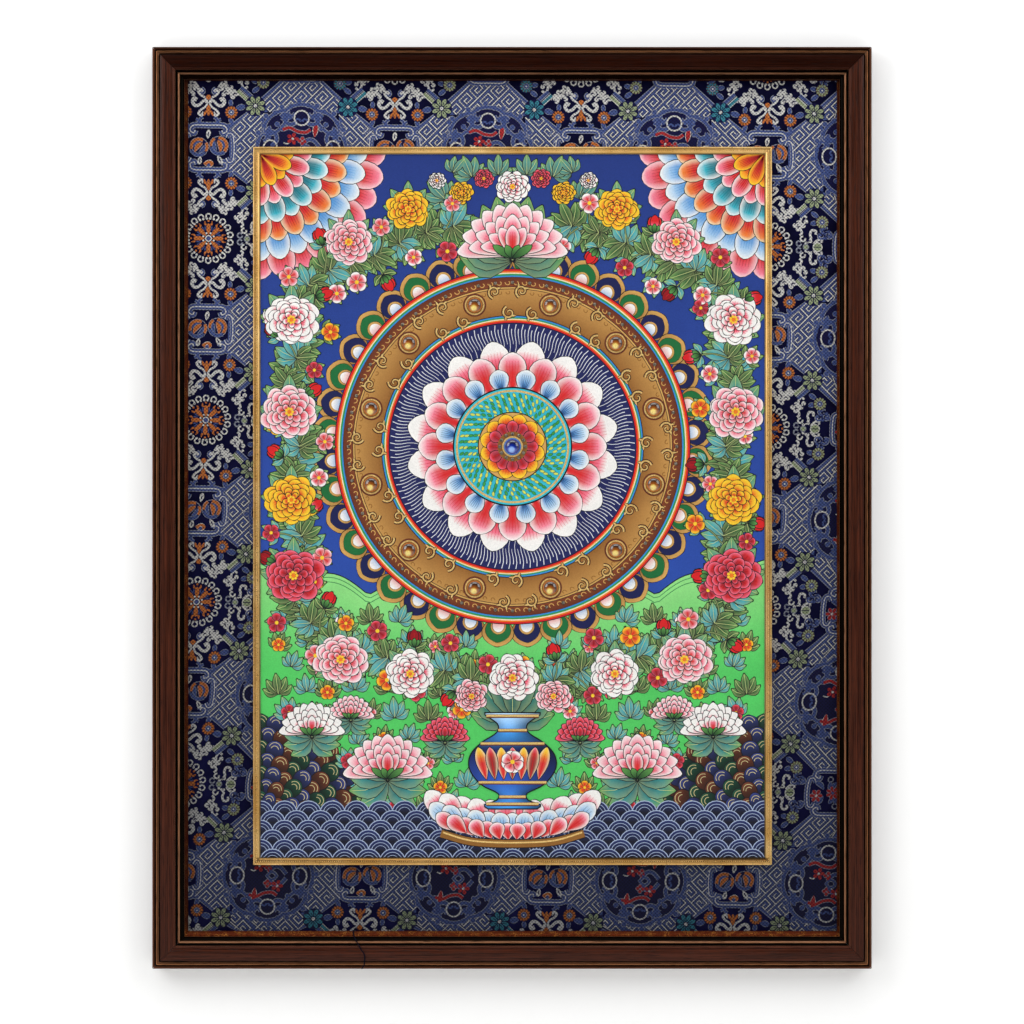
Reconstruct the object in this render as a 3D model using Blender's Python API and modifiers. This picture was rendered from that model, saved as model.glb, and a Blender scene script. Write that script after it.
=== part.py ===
"""A framed thangka: a painted cloth panel inside a gilt fillet, on a brocade ground, in a moulded wooden frame.

The front faces -Y and +Z is up. The origin is the middle of the top rail's back face, on the wall's plane.
Lengths are in metres. Sections of the mouldings are drawn as (inward, forward): the distance from the
moulding's outer edge towards the picture, and the distance in front of the wall.
"""

import math

import bmesh
import bpy
from mathutils import Vector
from mathutils.geometry import interpolate_bezier

# Wooden frame
FRAME_WIDTH = 0.700
FRAME_HEIGHT = 0.897
FRAME_DEPTH = 0.028
RAIL_WIDTH = 0.0308
RABBET_WALL = 0.022
RABBET_DEPTH = 0.017
JOINT_GAP = 0.0003

# What the frame holds, cut to one size, sits a little high and to the right in the rabbet
PACK_INSET = 0.0245
PACK_SHIFT = Vector((0.0005, 0.0, 0.0019))

BOARD_INSET = 0.0225
BOARD_BACK = 0.004
BOARD_THICKNESS = 0.003
BROCADE_THICKNESS = 0.0015
CANVAS_THICKNESS = 0.0012

EDGING_SHOWS = 0.0022
EDGING_FOOT = 0.0022

# Gilt fillet round the painting
FILLET_WIDTH = 0.5064
FILLET_HEIGHT = 0.7010
FILLET_FACE = 0.0069
FILLET_REBATE = 0.003
FILLET_RISE = 0.0048

# Glass domes glued on the painting: a ring of amber ones and a blue one at its middle
RING_RISE = 0.058
RING_RADIUS = 0.143
RING_COUNT = 12
AMBER_DIAMETER = 0.0146
BLUE_DIAMETER = 0.0150
DOME_GIRDLE = 0.0008
DOME_RISE = 0.0044
DOME_STEPS = 24
DOME_RINGS = 6

THREAD_DIAMETER = 0.0012

# Where each layer begins, measured forward from the wall
BROCADE_BACK = BOARD_BACK + BOARD_THICKNESS + JOINT_GAP
BROCADE_FRONT = BROCADE_BACK + BROCADE_THICKNESS
CANVAS_BACK = BROCADE_FRONT + JOINT_GAP
CANVAS_FRONT = CANVAS_BACK + CANVAS_THICKNESS
DOME_BACK = CANVAS_FRONT + JOINT_GAP

FRAME_CENTRE = Vector((0.0, 0.0, RABBET_WALL / 2 - FRAME_HEIGHT / 2))
PACK_CENTRE = FRAME_CENTRE + PACK_SHIFT
PACK_WIDTH = FRAME_WIDTH - 2 * PACK_INSET
PACK_HEIGHT = FRAME_HEIGHT - 2 * PACK_INSET

# The thread's course, as (x, z) from the frame's centre and the distance in front of the wall
THREAD_ROUTE = (
    (-0.1530, -0.4106, 0.0098),
    (-0.1547, -0.4143, 0.0160),
    (-0.1526, -0.4196, 0.0222),
    (-0.1492, -0.4243, 0.0264),
    (-0.1467, -0.4288, 0.0277),
    (-0.1437, -0.4329, 0.0281),
    (-0.1429, -0.4367, 0.0286),
    (-0.1432, -0.4404, 0.0290),
    (-0.1437, -0.4441, 0.0290),
    (-0.1459, -0.4475, 0.0287),
)
THREAD_POINTS_PER_SPAN = 3


def clear_scene():
    for old in list(bpy.data.objects):
        bpy.data.objects.remove(old, do_unlink=True)


def linear(level):
    """A screen colour level, 0 to 255, as the linear value that a shader takes."""
    share = level / 255
    return share / 12.92 if share <= 0.04045 else ((share + 0.055) / 1.055) ** 2.4


def material(name, colour, roughness, metallic=0.0):
    made = bpy.data.materials.new(name)
    made.use_nodes = True
    shader = made.node_tree.nodes["Principled BSDF"]
    shader.inputs["Base Color"].default_value = (*(linear(level) for level in colour), 1.0)
    shader.inputs["Roughness"].default_value = roughness
    shader.inputs["Metallic"].default_value = metallic
    return made


def add_part(name, data, finish, location=(0.0, 0.0, 0.0), turn=0.0):
    """A part of the thangka, placed and turned about the Y axis."""
    part = bpy.data.objects.new(name, data)
    if not data.materials:
        data.materials.append(finish)
    part.location = location
    part.rotation_euler = (0.0, turn, 0.0)
    part.parent = hanging_point
    thangka.objects.link(part)
    return part


def bead(start, end, base, rise, steps=6):
    """A rounded bead of a section, from start to end across the face."""
    middle = (start + end) / 2
    half = (end - start) / 2
    angles = [math.pi * (1 - step / steps) for step in range(steps + 1)]
    return [(middle + half * math.cos(angle), base + rise * math.sin(angle)) for angle in angles]


def cove(start, end, top, bottom, steps=5):
    """A hollow quarter round that falls from top at start to bottom at end."""
    angles = [math.pi / 2 * step / steps for step in range(1, steps + 1)]
    return [
        (start + (end - start) * (1 - math.cos(angle)), top - (top - bottom) * math.sin(angle))
        for angle in angles
    ]


def rail_section():
    """Outer bead, groove, pair of fine beads, groove, sloping band with a lip, step, bead and cove."""
    groove = FRAME_DEPTH - 0.0056
    fine_base = FRAME_DEPTH - 0.0048
    band_top = FRAME_DEPTH
    band_low = FRAME_DEPTH - 0.0028
    inner_base = FRAME_DEPTH - 0.0062
    sight = FRAME_DEPTH - 0.0094
    section = [(RABBET_WALL, 0.0), (0.0, 0.0)]
    section += bead(0.0, 0.00245, FRAME_DEPTH - 0.0060, 0.0016)
    section += [(0.0025, groove - 0.0006), (0.0037, groove - 0.0006)]
    section += bead(0.00375, 0.00520, fine_base, 0.0010)
    section += bead(0.00525, 0.00670, fine_base, 0.0010)
    section += [(0.00675, groove), (0.00805, groove)]
    section += [(0.00810, band_top - 0.0010), (0.00830, band_top - 0.0003), (0.00900, band_top)]
    section += [(0.0199, band_low)]
    section += bead(0.0201, 0.0226, band_low, 0.0009)
    section += [(0.02265, inner_base), (0.02455, inner_base)]
    section += bead(0.0246, 0.0268, inner_base + 0.0002, 0.0013)
    section += cove(0.02685, RAIL_WIDTH, inner_base, sight)
    section += [(RAIL_WIDTH, RABBET_DEPTH), (RABBET_WALL, RABBET_DEPTH)]
    return section


def edging_section():
    """A cloth-covered slip that lies on the brocade and slopes down to it from under the rail's lip."""
    top = RABBET_DEPTH - JOINT_GAP
    inner = RAIL_WIDTH + EDGING_SHOWS - PACK_INSET
    brink = RAIL_WIDTH + 0.0002 - PACK_INSET
    foot = CANVAS_BACK + EDGING_FOOT
    return [
        (0.0, CANVAS_BACK),
        (0.0, top),
        (brink - 0.0006, top),
        (brink, top - 0.0003),
        (inner - 0.0002, foot + 0.0006),
        (inner, foot),
        (inner, CANVAS_BACK),
    ]


def fillet_section():
    """A bead, a groove, a channel between ridges and a slope to the painting, whose edge lies in the rebate."""
    crest = CANVAS_BACK + FILLET_RISE
    lip = CANVAS_FRONT + JOINT_GAP
    section = [(FILLET_REBATE, CANVAS_BACK), (0.0, CANVAS_BACK)]
    section += bead(0.0, 0.00135, crest - 0.0006, 0.0006)
    section += [(0.00140, crest - 0.0009), (0.00225, crest - 0.0009)]
    section += [(0.00235, crest - 0.0003), (0.00265, crest - 0.0003), (0.00275, crest - 0.0008)]
    section += [(0.00400, crest - 0.0008), (0.00410, crest - 0.0003), (0.00450, crest - 0.0004)]
    section += [(FILLET_FACE - 0.0002, lip + 0.0010)]
    section += [(FILLET_FACE, lip + 0.0008), (FILLET_FACE, lip), (FILLET_REBATE, lip)]
    return section


def mitred_length(name, section, length):
    """A moulding along X, its outer edge on the X axis, its face to -Y, each end cut at 45 degrees."""
    made = bmesh.new()
    corners = [made.verts.new((0.0, -forward, -inward)) for inward, forward in section]
    profile = made.faces.new(corners)
    grown = bmesh.ops.extrude_face_region(made, geom=[profile])["geom"]
    far_end = {item for item in grown if isinstance(item, bmesh.types.BMVert)}
    cut_back = JOINT_GAP / 2 * math.sqrt(2)
    for vertex in made.verts:
        reach = length / 2 + vertex.co.z - cut_back
        vertex.co.x = reach if vertex in far_end else -reach
    bmesh.ops.recalc_face_normals(made, faces=made.faces)
    data = bpy.data.meshes.new(name)
    made.to_mesh(data)
    made.free()
    return data


def moulded_surround(kind, section, width, height, centre, finish):
    """Four mitred lengths round a width by height rectangle."""
    sides = (
        ("top", width, Vector((0.0, 0.0, height / 2)), 0.0),
        ("bottom", width, Vector((0.0, 0.0, -height / 2)), math.pi),
        ("left", height, Vector((-width / 2, 0.0, 0.0)), -math.pi / 2),
        ("right", height, Vector((width / 2, 0.0, 0.0)), math.pi / 2),
    )
    for side, length, edge_middle, turn in sides:
        name = f"{kind}_{side}"
        add_part(name, mitred_length(name, section, length), finish, centre + edge_middle, turn)


def flat_panel(name, width, height, back, thickness, centre, finish, easing=0.0):
    """An upright panel whose back face is the distance back in front of the wall."""
    bpy.ops.mesh.primitive_cube_add(size=1.0)
    made = bpy.context.object
    data = made.data
    bpy.data.objects.remove(made)
    data.name = name
    for vertex in data.vertices:
        vertex.co = Vector((vertex.co.x * width, vertex.co.y * thickness, vertex.co.z * height))
    place = centre + Vector((0.0, -(back + thickness / 2), 0.0))
    panel = add_part(name, data, finish, place)
    if easing:
        edges = panel.modifiers.new("Eased edges", "BEVEL")
        edges.width = easing
        edges.segments = 2
    return panel


def dome_mesh(name, diameter, finish):
    """Half the section of a flat-backed glass dome, for turning about the Y axis."""
    radius = diameter / 2
    made = bmesh.new()
    outline = [(0.0, 0.0), (radius, 0.0)]
    for step in range(DOME_RINGS + 1):
        angle = math.pi / 2 * step / DOME_RINGS
        outline.append((radius * math.cos(angle), -DOME_GIRDLE - DOME_RISE * math.sin(angle)))
    points = [made.verts.new((x, y, 0.0)) for x, y in outline]
    for first, second in zip(points, points[1:]):
        made.edges.new((first, second))
    data = bpy.data.meshes.new(name)
    made.to_mesh(data)
    made.free()
    data.materials.append(finish)
    return data


def glass_dome(name, data, across, up, finish):
    """A dome on the painting, at a place measured from the painting's centre."""
    place = PACK_CENTRE + Vector((across, -DOME_BACK, up))
    dome = add_part(name, data, finish, place)
    turning = dome.modifiers.new("Turned dome", "SCREW")
    turning.axis = "Y"
    turning.steps = DOME_STEPS
    turning.render_steps = DOME_STEPS
    turning.use_merge_vertices = True
    turning.merge_threshold = 0.00001
    turning.use_normal_calculate = True
    return dome


def smooth_course(route, steps):
    """Points along a curve that passes smoothly through every point of the route."""
    ends = [route[0] * 2 - route[1], *route, route[-1] * 2 - route[-2]]
    course = []
    for before, start, end, after in zip(ends, ends[1:], ends[2:], ends[3:]):
        leave = start + (end - before) / 6
        arrive = end - (after - start) / 6
        course += interpolate_bezier(start, leave, arrive, end, steps + 1)[:-1]
    return [*course, route[-1]]


def loose_thread(finish):
    """A loose thread that comes from under the bottom edging and falls over the bottom rail."""
    route = [FRAME_CENTRE + Vector((x, -forward, z)) for x, z, forward in THREAD_ROUTE]
    course = smooth_course(route, THREAD_POINTS_PER_SPAN)
    data = bpy.data.curves.new("loose_thread", "CURVE")
    data.dimensions = "3D"
    data.bevel_depth = THREAD_DIAMETER / 2
    data.bevel_resolution = 2
    data.use_fill_caps = True
    line = data.splines.new("POLY")
    line.points.add(len(course) - 1)
    for point, place in zip(line.points, course):
        point.co = (*place, 1.0)
    return add_part("loose_thread", data, finish)


clear_scene()
thangka = bpy.data.collections.new("Framed thangka")
bpy.context.scene.collection.children.link(thangka)
hanging_point = bpy.data.objects.new("hanging_point", None)
thangka.objects.link(hanging_point)

frame_wood = material("Dark stained wood", (70, 34, 24), 0.38)
board_wood = material("Back board", (150, 116, 82), 0.8)
brocade_silk = material("Navy brocade", (32, 36, 78), 0.55)
edging_silk = material("Rust brocade", (140, 72, 38), 0.6)
gilt = material("Gilt", (222, 185, 115), 0.3, metallic=0.8)
painted_cloth = material("Painted cloth", (64, 96, 150), 0.6)
amber_glass = material("Amber glass", (200, 110, 30), 0.06)
blue_glass = material("Blue glass", (20, 44, 130), 0.05)
navy_thread = material("Navy thread", (18, 20, 48), 0.8)

moulded_surround("rail", rail_section(), FRAME_WIDTH, FRAME_HEIGHT, FRAME_CENTRE, frame_wood)

flat_panel(
    "back_board",
    FRAME_WIDTH - 2 * BOARD_INSET,
    FRAME_HEIGHT - 2 * BOARD_INSET,
    BOARD_BACK,
    BOARD_THICKNESS,
    FRAME_CENTRE,
    board_wood,
    easing=0.0004,
)
flat_panel(
    "brocade_panel",
    PACK_WIDTH,
    PACK_HEIGHT,
    BROCADE_BACK,
    BROCADE_THICKNESS,
    PACK_CENTRE,
    brocade_silk,
)
moulded_surround("edging", edging_section(), PACK_WIDTH, PACK_HEIGHT, PACK_CENTRE, edging_silk)
moulded_surround("fillet", fillet_section(), FILLET_WIDTH, FILLET_HEIGHT, PACK_CENTRE, gilt)

canvas_tuck = FILLET_REBATE + JOINT_GAP
flat_panel(
    "painted_canvas",
    FILLET_WIDTH - 2 * canvas_tuck,
    FILLET_HEIGHT - 2 * canvas_tuck,
    CANVAS_BACK,
    CANVAS_THICKNESS,
    PACK_CENTRE,
    painted_cloth,
)

amber_dome = dome_mesh("amber_dome", AMBER_DIAMETER, amber_glass)
for number in range(RING_COUNT):
    bearing = math.radians(15 + 360 / RING_COUNT * number)
    glass_dome(
        f"amber_cabochon_{number + 1:02d}",
        amber_dome,
        RING_RADIUS * math.sin(bearing),
        RING_RISE + RING_RADIUS * math.cos(bearing),
        amber_glass,
    )
glass_dome("blue_cabochon", dome_mesh("blue_dome", BLUE_DIAMETER, blue_glass), 0.0, RING_RISE, blue_glass)

loose_thread(navy_thread)
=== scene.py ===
"""The looks of a framed thangka: painted cotton, a gilt fillet, navy brocade and a stained wood frame.

Everything is in metres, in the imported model's own frame: -Y faces the viewer and +Z is up. Drawn ornament is
laid out in millimetres from the painting's centre, as complex numbers: across plus 1j times up.
"""

import functools
import math

import bmesh
import bpy
import numpy as np
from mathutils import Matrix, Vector
from mathutils.geometry import interpolate_bezier


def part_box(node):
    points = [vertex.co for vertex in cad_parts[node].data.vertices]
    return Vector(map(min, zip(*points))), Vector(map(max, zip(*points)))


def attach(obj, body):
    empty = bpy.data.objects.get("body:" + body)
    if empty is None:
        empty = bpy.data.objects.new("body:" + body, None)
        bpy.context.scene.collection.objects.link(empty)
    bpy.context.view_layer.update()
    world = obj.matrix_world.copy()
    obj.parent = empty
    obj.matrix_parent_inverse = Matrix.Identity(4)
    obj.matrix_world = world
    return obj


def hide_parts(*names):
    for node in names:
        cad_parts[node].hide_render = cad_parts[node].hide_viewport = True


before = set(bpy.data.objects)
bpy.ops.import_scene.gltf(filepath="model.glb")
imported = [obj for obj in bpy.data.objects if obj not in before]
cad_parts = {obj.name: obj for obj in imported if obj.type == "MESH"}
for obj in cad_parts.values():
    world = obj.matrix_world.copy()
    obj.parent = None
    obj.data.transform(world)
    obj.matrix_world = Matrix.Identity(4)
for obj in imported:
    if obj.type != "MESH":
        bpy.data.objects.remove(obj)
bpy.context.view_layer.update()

# Camera
# A long lens squarely in front, a little below the frame's middle, as far back as the photo's framing asks.
# One pixel of the photo is the frame's width over the pixels that it spans there.
PHOTO_SIDE = 1024
FRAME_SPAN = 719.9
FRAME_MIDDLE_DOWN = 507.85
LENS = 0.100
SENSOR = 0.036
FACE_OUT = 0.024
frame_low = Vector((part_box("rail_left")[0].x, 0.0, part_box("rail_left")[0].z))
frame_high = Vector((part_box("rail_right")[1].x, 0.0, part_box("rail_right")[1].z))
pixel = (frame_high.x - frame_low.x) / FRAME_SPAN
camera_data = bpy.data.cameras.new("camera")
camera_data.lens = LENS * 1000
camera_data.sensor_width = SENSOR * 1000
camera = bpy.data.objects.new("camera", camera_data)
camera_back = PHOTO_SIDE * pixel * LENS / SENSOR + FACE_OUT
camera_height = (frame_low.z + frame_high.z) / 2 - (PHOTO_SIDE / 2 - FRAME_MIDDLE_DOWN) * pixel
camera.location = (0.0, -camera_back, camera_height)
camera.rotation_euler = (math.radians(90), 0.0, 0.0)
bpy.context.scene.collection.objects.link(camera)
bpy.context.scene.camera = camera


# Wooden frame
# Four mitred lengths of dark stained hardwood. The grooves are near black, the fine beads rubbed with copper,
# and the sloping band keeps an open grain under a satin varnish.
def linear(*levels):
    """Screen colour levels, 0 to 255, as the linear colour that a shader takes."""
    share = np.array(levels, float) / 255
    return (*np.where(share <= 0.04045, share / 12.92, ((share + 0.055) / 1.055) ** 2.4), 1.0)


def grey(level):
    """An even grey, as the linear colour that a shader takes."""
    return (level, level, level, 1.0)


def plug(tree, socket, value):
    """Sets a socket's value, or links it where the value is another node's output."""
    if isinstance(value, bpy.types.NodeSocket):
        tree.links.new(value, socket)
    else:
        socket.default_value = value


def add_node(tree, kind, sockets=None, **settings):
    made = tree.nodes.new("ShaderNode" + kind)
    for key, value in settings.items():
        setattr(made, key, value)
    for key, value in (sockets or {}).items():
        plug(tree, made.inputs[key], value)
    return made


def arithmetic(tree, operation, first, second=0.0):
    return add_node(tree, "Math", {0: first, 1: second}, operation=operation).outputs[0]


def times(tree, first, second):
    return arithmetic(tree, "MULTIPLY", first, second)


def spread(tree, value, low, high, to_low=0.0, to_high=1.0):
    """Stretches a value that runs from low to high."""
    ends = {"Value": value, "From Min": low, "From Max": high, "To Min": to_low, "To Max": to_high}
    return add_node(tree, "MapRange", ends).outputs["Result"]


def colour_ramp(tree, factor, stops, constant=False):
    """A ramp through (place, colour) stops."""
    ramp = add_node(tree, "ValToRGB", {"Fac": factor})
    ramp.color_ramp.interpolation = "CONSTANT" if constant else "LINEAR"
    while len(ramp.color_ramp.elements) < len(stops):
        ramp.color_ramp.elements.new(0.5)
    for element, (place, colour) in zip(ramp.color_ramp.elements, stops):
        element.position = place
        element.color = colour
    return ramp.outputs["Color"]


def mixed(tree, blend, factor, first, second):
    made = add_node(tree, "Mix", {"Factor": factor}, data_type="RGBA", blend_type=blend)
    plug(tree, made.inputs[6], first)
    plug(tree, made.inputs[7], second)
    return made.outputs[2]


def toned(tree, factor, body, pattern, stops):
    """Darkens a colour along a pattern, through a ramp of tones."""
    return mixed(tree, "MULTIPLY", factor, body, colour_ramp(tree, pattern, stops))


def scaled(tree, place, factors):
    return add_node(tree, "VectorMath", {0: place, 1: factors}, operation="MULTIPLY").outputs[0]


def noise(tree, place, scale, detail=2.0, roughness=0.5):
    sockets = {"Vector": place, "Scale": scale, "Detail": detail, "Roughness": roughness}
    return add_node(tree, "TexNoise", sockets).outputs["Fac"]


def bumped(tree, height, distance):
    return add_node(tree, "Bump", {"Height": height, "Distance": distance, "Strength": 1.0}).outputs["Normal"]


def object_place(tree):
    return add_node(tree, "TexCoord").outputs["Object"]


def axes_of(tree, place):
    return add_node(tree, "SeparateXYZ", {0: place}).outputs


def new_group(name, inputs, outputs):
    """A shader node group. Inputs are (name, kind) or (name, kind, usual value), and outputs (name, kind)."""
    tree = bpy.data.node_groups.new(name, "ShaderNodeTree")
    for label, kind, *usual in inputs:
        socket = tree.interface.new_socket(label, in_out="INPUT", socket_type="NodeSocket" + kind)
        if usual:
            socket.default_value = usual[0]
    for label, kind in outputs:
        tree.interface.new_socket(label, in_out="OUTPUT", socket_type="NodeSocket" + kind)
    return tree, tree.nodes.new("NodeGroupInput").outputs, tree.nodes.new("NodeGroupOutput").inputs


def use_group(tree, group, sockets):
    made = tree.nodes.new("ShaderNodeGroup")
    made.node_tree = group
    for key, value in sockets.items():
        plug(tree, made.inputs[key], value)
    return made.outputs


def new_material(name, **constants):
    """A material with one Principled shader, its even values set on its own sockets."""
    made = bpy.data.materials.new(name)
    made.use_nodes = True
    shader = made.node_tree.nodes["Principled BSDF"]
    for key, value in constants.items():
        shader.inputs[key.replace("_", " ")].default_value = value
    return made, made.node_tree, shader


def feed(tree, shader, **sockets):
    for key, value in sockets.items():
        tree.links.new(value, shader.inputs[key.replace("_", " ")])


grain_group, entry, leave = new_group(
    "Wood grain",
    [("Run", "Vector"), ("Along", "Float", 9.0), ("Across", "Float", 620.0)],
    [("Figure", "Float"), ("Pores", "Float")],
)
grain_scale = add_node(grain_group, "CombineXYZ", {0: entry["Along"], 1: entry["Across"], 2: 1.0}).outputs[0]
grain_run = scaled(grain_group, entry["Run"], grain_scale)
grain_group.links.new(noise(grain_group, grain_run, 1.0, 5.0, 0.62), leave["Figure"])
pores = noise(grain_group, scaled(grain_group, grain_run, (6.5, 2.6, 1.0)), 1.0)
grain_group.links.new(spread(grain_group, pores, 0.55, 0.68), leave["Pores"])

RAIL_WIDTH = 0.0308
BAND_MIDDLE = 0.0130
LEVEL_RUN = 3.0
NEAR_BLACK = (9, 6, 5)
STAIN_DARK = (16, 5, 2)
STAIN_LIGHT = (88, 42, 26)
OPEN_PORES = 0.75
VARNISH_COAT = 0.03
VARNISH_GLOSS = 0.13
# The top rail, above this height, has painted shade: it is painted darker and duller than the others
TOP_RAIL_FOOT = -0.1
TOP_DULLED = 0.7
TOP_PAINTED_SHADE = (14, 1, 0)
# Where each part of the moulding starts, in millimetres from its outer edge: its colour, how much of the
# stained wood's figure shows in it, and how much metal wax is rubbed on it
RAIL_FINISHES = (
    (0.0, (104, 66, 48), 0.4, 0.3),
    (2.3, NEAR_BLACK, 0.0, 0.0),
    (3.72, (158, 106, 70), 0.0, 0.75),
    (5.22, (128, 88, 62), 0.0, 0.75),
    (6.72, NEAR_BLACK, 0.0, 0.0),
    (8.08, (70, 34, 24), 0.85, 0.0),
    (20.1, (88, 50, 37), 0.6, 0.15),
    (22.6, NEAR_BLACK, 0.0, 0.0),
    (24.58, (158, 112, 82), 0.0, 0.7),
    (26.82, (8, 5, 3), 0.0, 0.0),
)


def stained_wood():
    made, tree, shader = new_material("Stained wood", Coat_Roughness=0.1)
    run = add_node(tree, "UVMap", uv_map="Moulding").outputs["UV"]
    along, across, _ = axes_of(tree, run)
    share = arithmetic(tree, "DIVIDE", across, RAIL_WIDTH)

    def across_rail(column):
        """One column of the finishes, as a ramp across the rail."""
        stops = []
        for row in RAIL_FINISHES:
            colour = linear(*row[1]) if column == 1 else grey(row[column])
            stops.append((row[0] / 1000 / RAIL_WIDTH, colour))
        return colour_ramp(tree, share, stops, constant=True)

    grain = use_group(tree, grain_group, {"Run": run})
    stain = colour_ramp(tree, grain["Figure"], [(0.3, linear(*STAIN_DARK)), (0.72, linear(*STAIN_LIGHT))])
    body = mixed(tree, "MIX", across_rail(2), across_rail(1), stain)
    body = mixed(tree, "MIX", times(tree, grain["Pores"], OPEN_PORES), body, linear(16, 7, 5))
    # Painted shade: above TOP_RAIL_FOOT the top rail's colour is darkened and its varnish dulled
    height = axes_of(tree, object_place(tree))[2]
    level = arithmetic(tree, "GREATER_THAN", along, LEVEL_RUN / 2)
    top = times(tree, level, arithmetic(tree, "GREATER_THAN", height, TOP_RAIL_FOOT))
    deepened = arithmetic(tree, "ADD", times(tree, across_rail(2), 0.35), 0.42)
    body = mixed(tree, "MIX", times(tree, top, deepened), body, linear(*TOP_PAINTED_SHADE))
    sunk = arithmetic(tree, "SUBTRACT", grain["Figure"], grain["Pores"])
    shine = arithmetic(tree, "SUBTRACT", 1.0, times(tree, top, TOP_DULLED))
    feed(
        tree,
        shader,
        Base_Color=body,
        Coat_Weight=times(tree, shine, VARNISH_COAT),
        Specular_IOR_Level=times(tree, across_rail(2), times(tree, shine, VARNISH_GLOSS)),
        Metallic=across_rail(3),
        Roughness=spread(tree, grain["Figure"], 0.3, 0.7, 0.24, 0.38),
        Normal=bumped(tree, sunk, 0.00012),
    )
    return made


def add_piece(name, data, finish=None):
    piece = bpy.data.objects.new(name, data)
    bpy.context.scene.collection.objects.link(piece)
    if finish:
        data.materials.append(finish)
    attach(piece, "root")
    return piece


def smooth_mesh(name, shape, sharp_from):
    """A shape as a smooth mesh, sharp along edges that bend by more than some degrees."""
    for face in shape.faces:
        face.smooth = True
    data = bpy.data.meshes.new(name)
    shape.to_mesh(data)
    shape.free()
    data.set_sharp_from_angle(angle=math.radians(sharp_from))
    return data


def moulding_copy(node, edges, plain_place, plain_spread):
    """A smooth copy of a moulding's solid, mapped by how far along and how far in each point is, in metres.

    edges are the left, right, bottom and top of the rectangle that the moulding goes round. Faces out of view
    are mapped round plain_place, to a strip that is plain_spread times as wide as they are.
    """
    left, right, bottom, top = edges
    shape = bmesh.new()
    shape.from_mesh(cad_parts[node].data)
    bmesh.ops.remove_doubles(shape, verts=shape.verts, dist=0.000002)
    bmesh.ops.dissolve_limit(shape, angle_limit=0.002, verts=shape.verts, edges=shape.edges)
    run = shape.loops.layers.uv.new("Moulding")
    upright = node.endswith(("left", "right"))
    for face in shape.faces:
        plain = face.normal.y > -0.05 and abs(face.normal.x if upright else face.normal.z) > 0.9
        for loop in face.loops:
            x, y, z = loop.vert.co
            inward = min(x - left, right - x) if upright else min(z - bottom, top - z)
            if plain or face.normal.y > 0.5:
                inward = plain_place + plain_spread * (inward - y - plain_place)
            loop[run].uv = (z if upright else x + LEVEL_RUN, inward)
    return smooth_mesh(node, shape, 38)


def dressed_mouldings(kind, dressed, finish, plain_place, plain_spread=0.0):
    """Smooth mouldings in place of the four solids of one kind."""
    left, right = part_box(f"{kind}_left")[0].x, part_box(f"{kind}_right")[1].x
    bottom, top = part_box(f"{kind}_left")[0].z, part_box(f"{kind}_left")[1].z
    for side in ("top", "bottom", "left", "right"):
        node = f"{kind}_{side}"
        data = moulding_copy(node, (left, right, bottom, top), plain_place, plain_spread)
        piece = add_piece(f"{dressed}_{side}", data, finish)
        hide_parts(node)


dressed_mouldings("rail", "wood_rail", stained_wood(), BAND_MIDDLE, 0.35)


# Back board
# A plain thin board pressed into the rabbet behind the brocade, of a pale sanded wood with its grain upright.
def board_wood():
    made, tree, shader = new_material("Board wood", Roughness=0.75)
    axes = axes_of(tree, object_place(tree))
    run = add_node(tree, "CombineXYZ", {0: axes[2], 1: axes[0], 2: 0.0}).outputs[0]
    grain = use_group(tree, grain_group, {"Run": run, "Along": 3.0, "Across": 90.0})
    body = colour_ramp(tree, grain["Figure"], [(0.3, linear(146, 108, 74)), (0.7, linear(186, 150, 110))])
    body = mixed(tree, "MIX", times(tree, grain["Pores"], 0.3), body, linear(110, 78, 52))
    feed(tree, shader, Base_Color=body, Normal=bumped(tree, grain["Figure"], 0.0001))
    return made


def refinish(node, finish):
    """Gives a solid that stays as it is a better finish."""
    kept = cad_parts[node]
    kept.data.materials.clear()
    kept.data.materials.append(finish)
    return kept


refinish("back_board", board_wood())

# Brocade ground
# One sheet of navy silk satin, stretched over the board behind the fillet. Its ground is close and even, and
# the fine ribs of its weave show only in the way that it catches the light.
weave_group, entry, leave = new_group(
    "Plain weave", [("Place", "Vector"), ("Pitch", "Float", 0.0006)], [("Height", "Float")]
)
weave_place = axes_of(weave_group, entry["Place"])
turns = []
for weave_axis in (0, 2):
    pitches = arithmetic(weave_group, "DIVIDE", weave_place[weave_axis], entry["Pitch"])
    turns.append(arithmetic(weave_group, "SINE", times(weave_group, pitches, math.tau)))
crossing = times(weave_group, *turns)
weave_group.links.new(spread(weave_group, crossing, -1.0, 1.0), leave["Height"])


def navy_satin():
    made, tree, shader = new_material("Navy satin", Roughness=0.5, Specular_IOR_Level=0.03)
    place = object_place(tree)
    weave = use_group(tree, weave_group, {"Place": place, "Pitch": 0.0007})
    cloudy = noise(tree, place, 60.0, 3.0)
    body = colour_ramp(tree, cloudy, [(0.3, linear(6, 6, 33)), (0.7, linear(14, 14, 49))])
    body = toned(tree, 0.5, body, weave["Height"], [(0.0, linear(150, 150, 170)), (1.0, grey(1.0))])
    feed(tree, shader, Base_Color=body, Normal=bumped(tree, weave["Height"], 0.00008))
    return made


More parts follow.
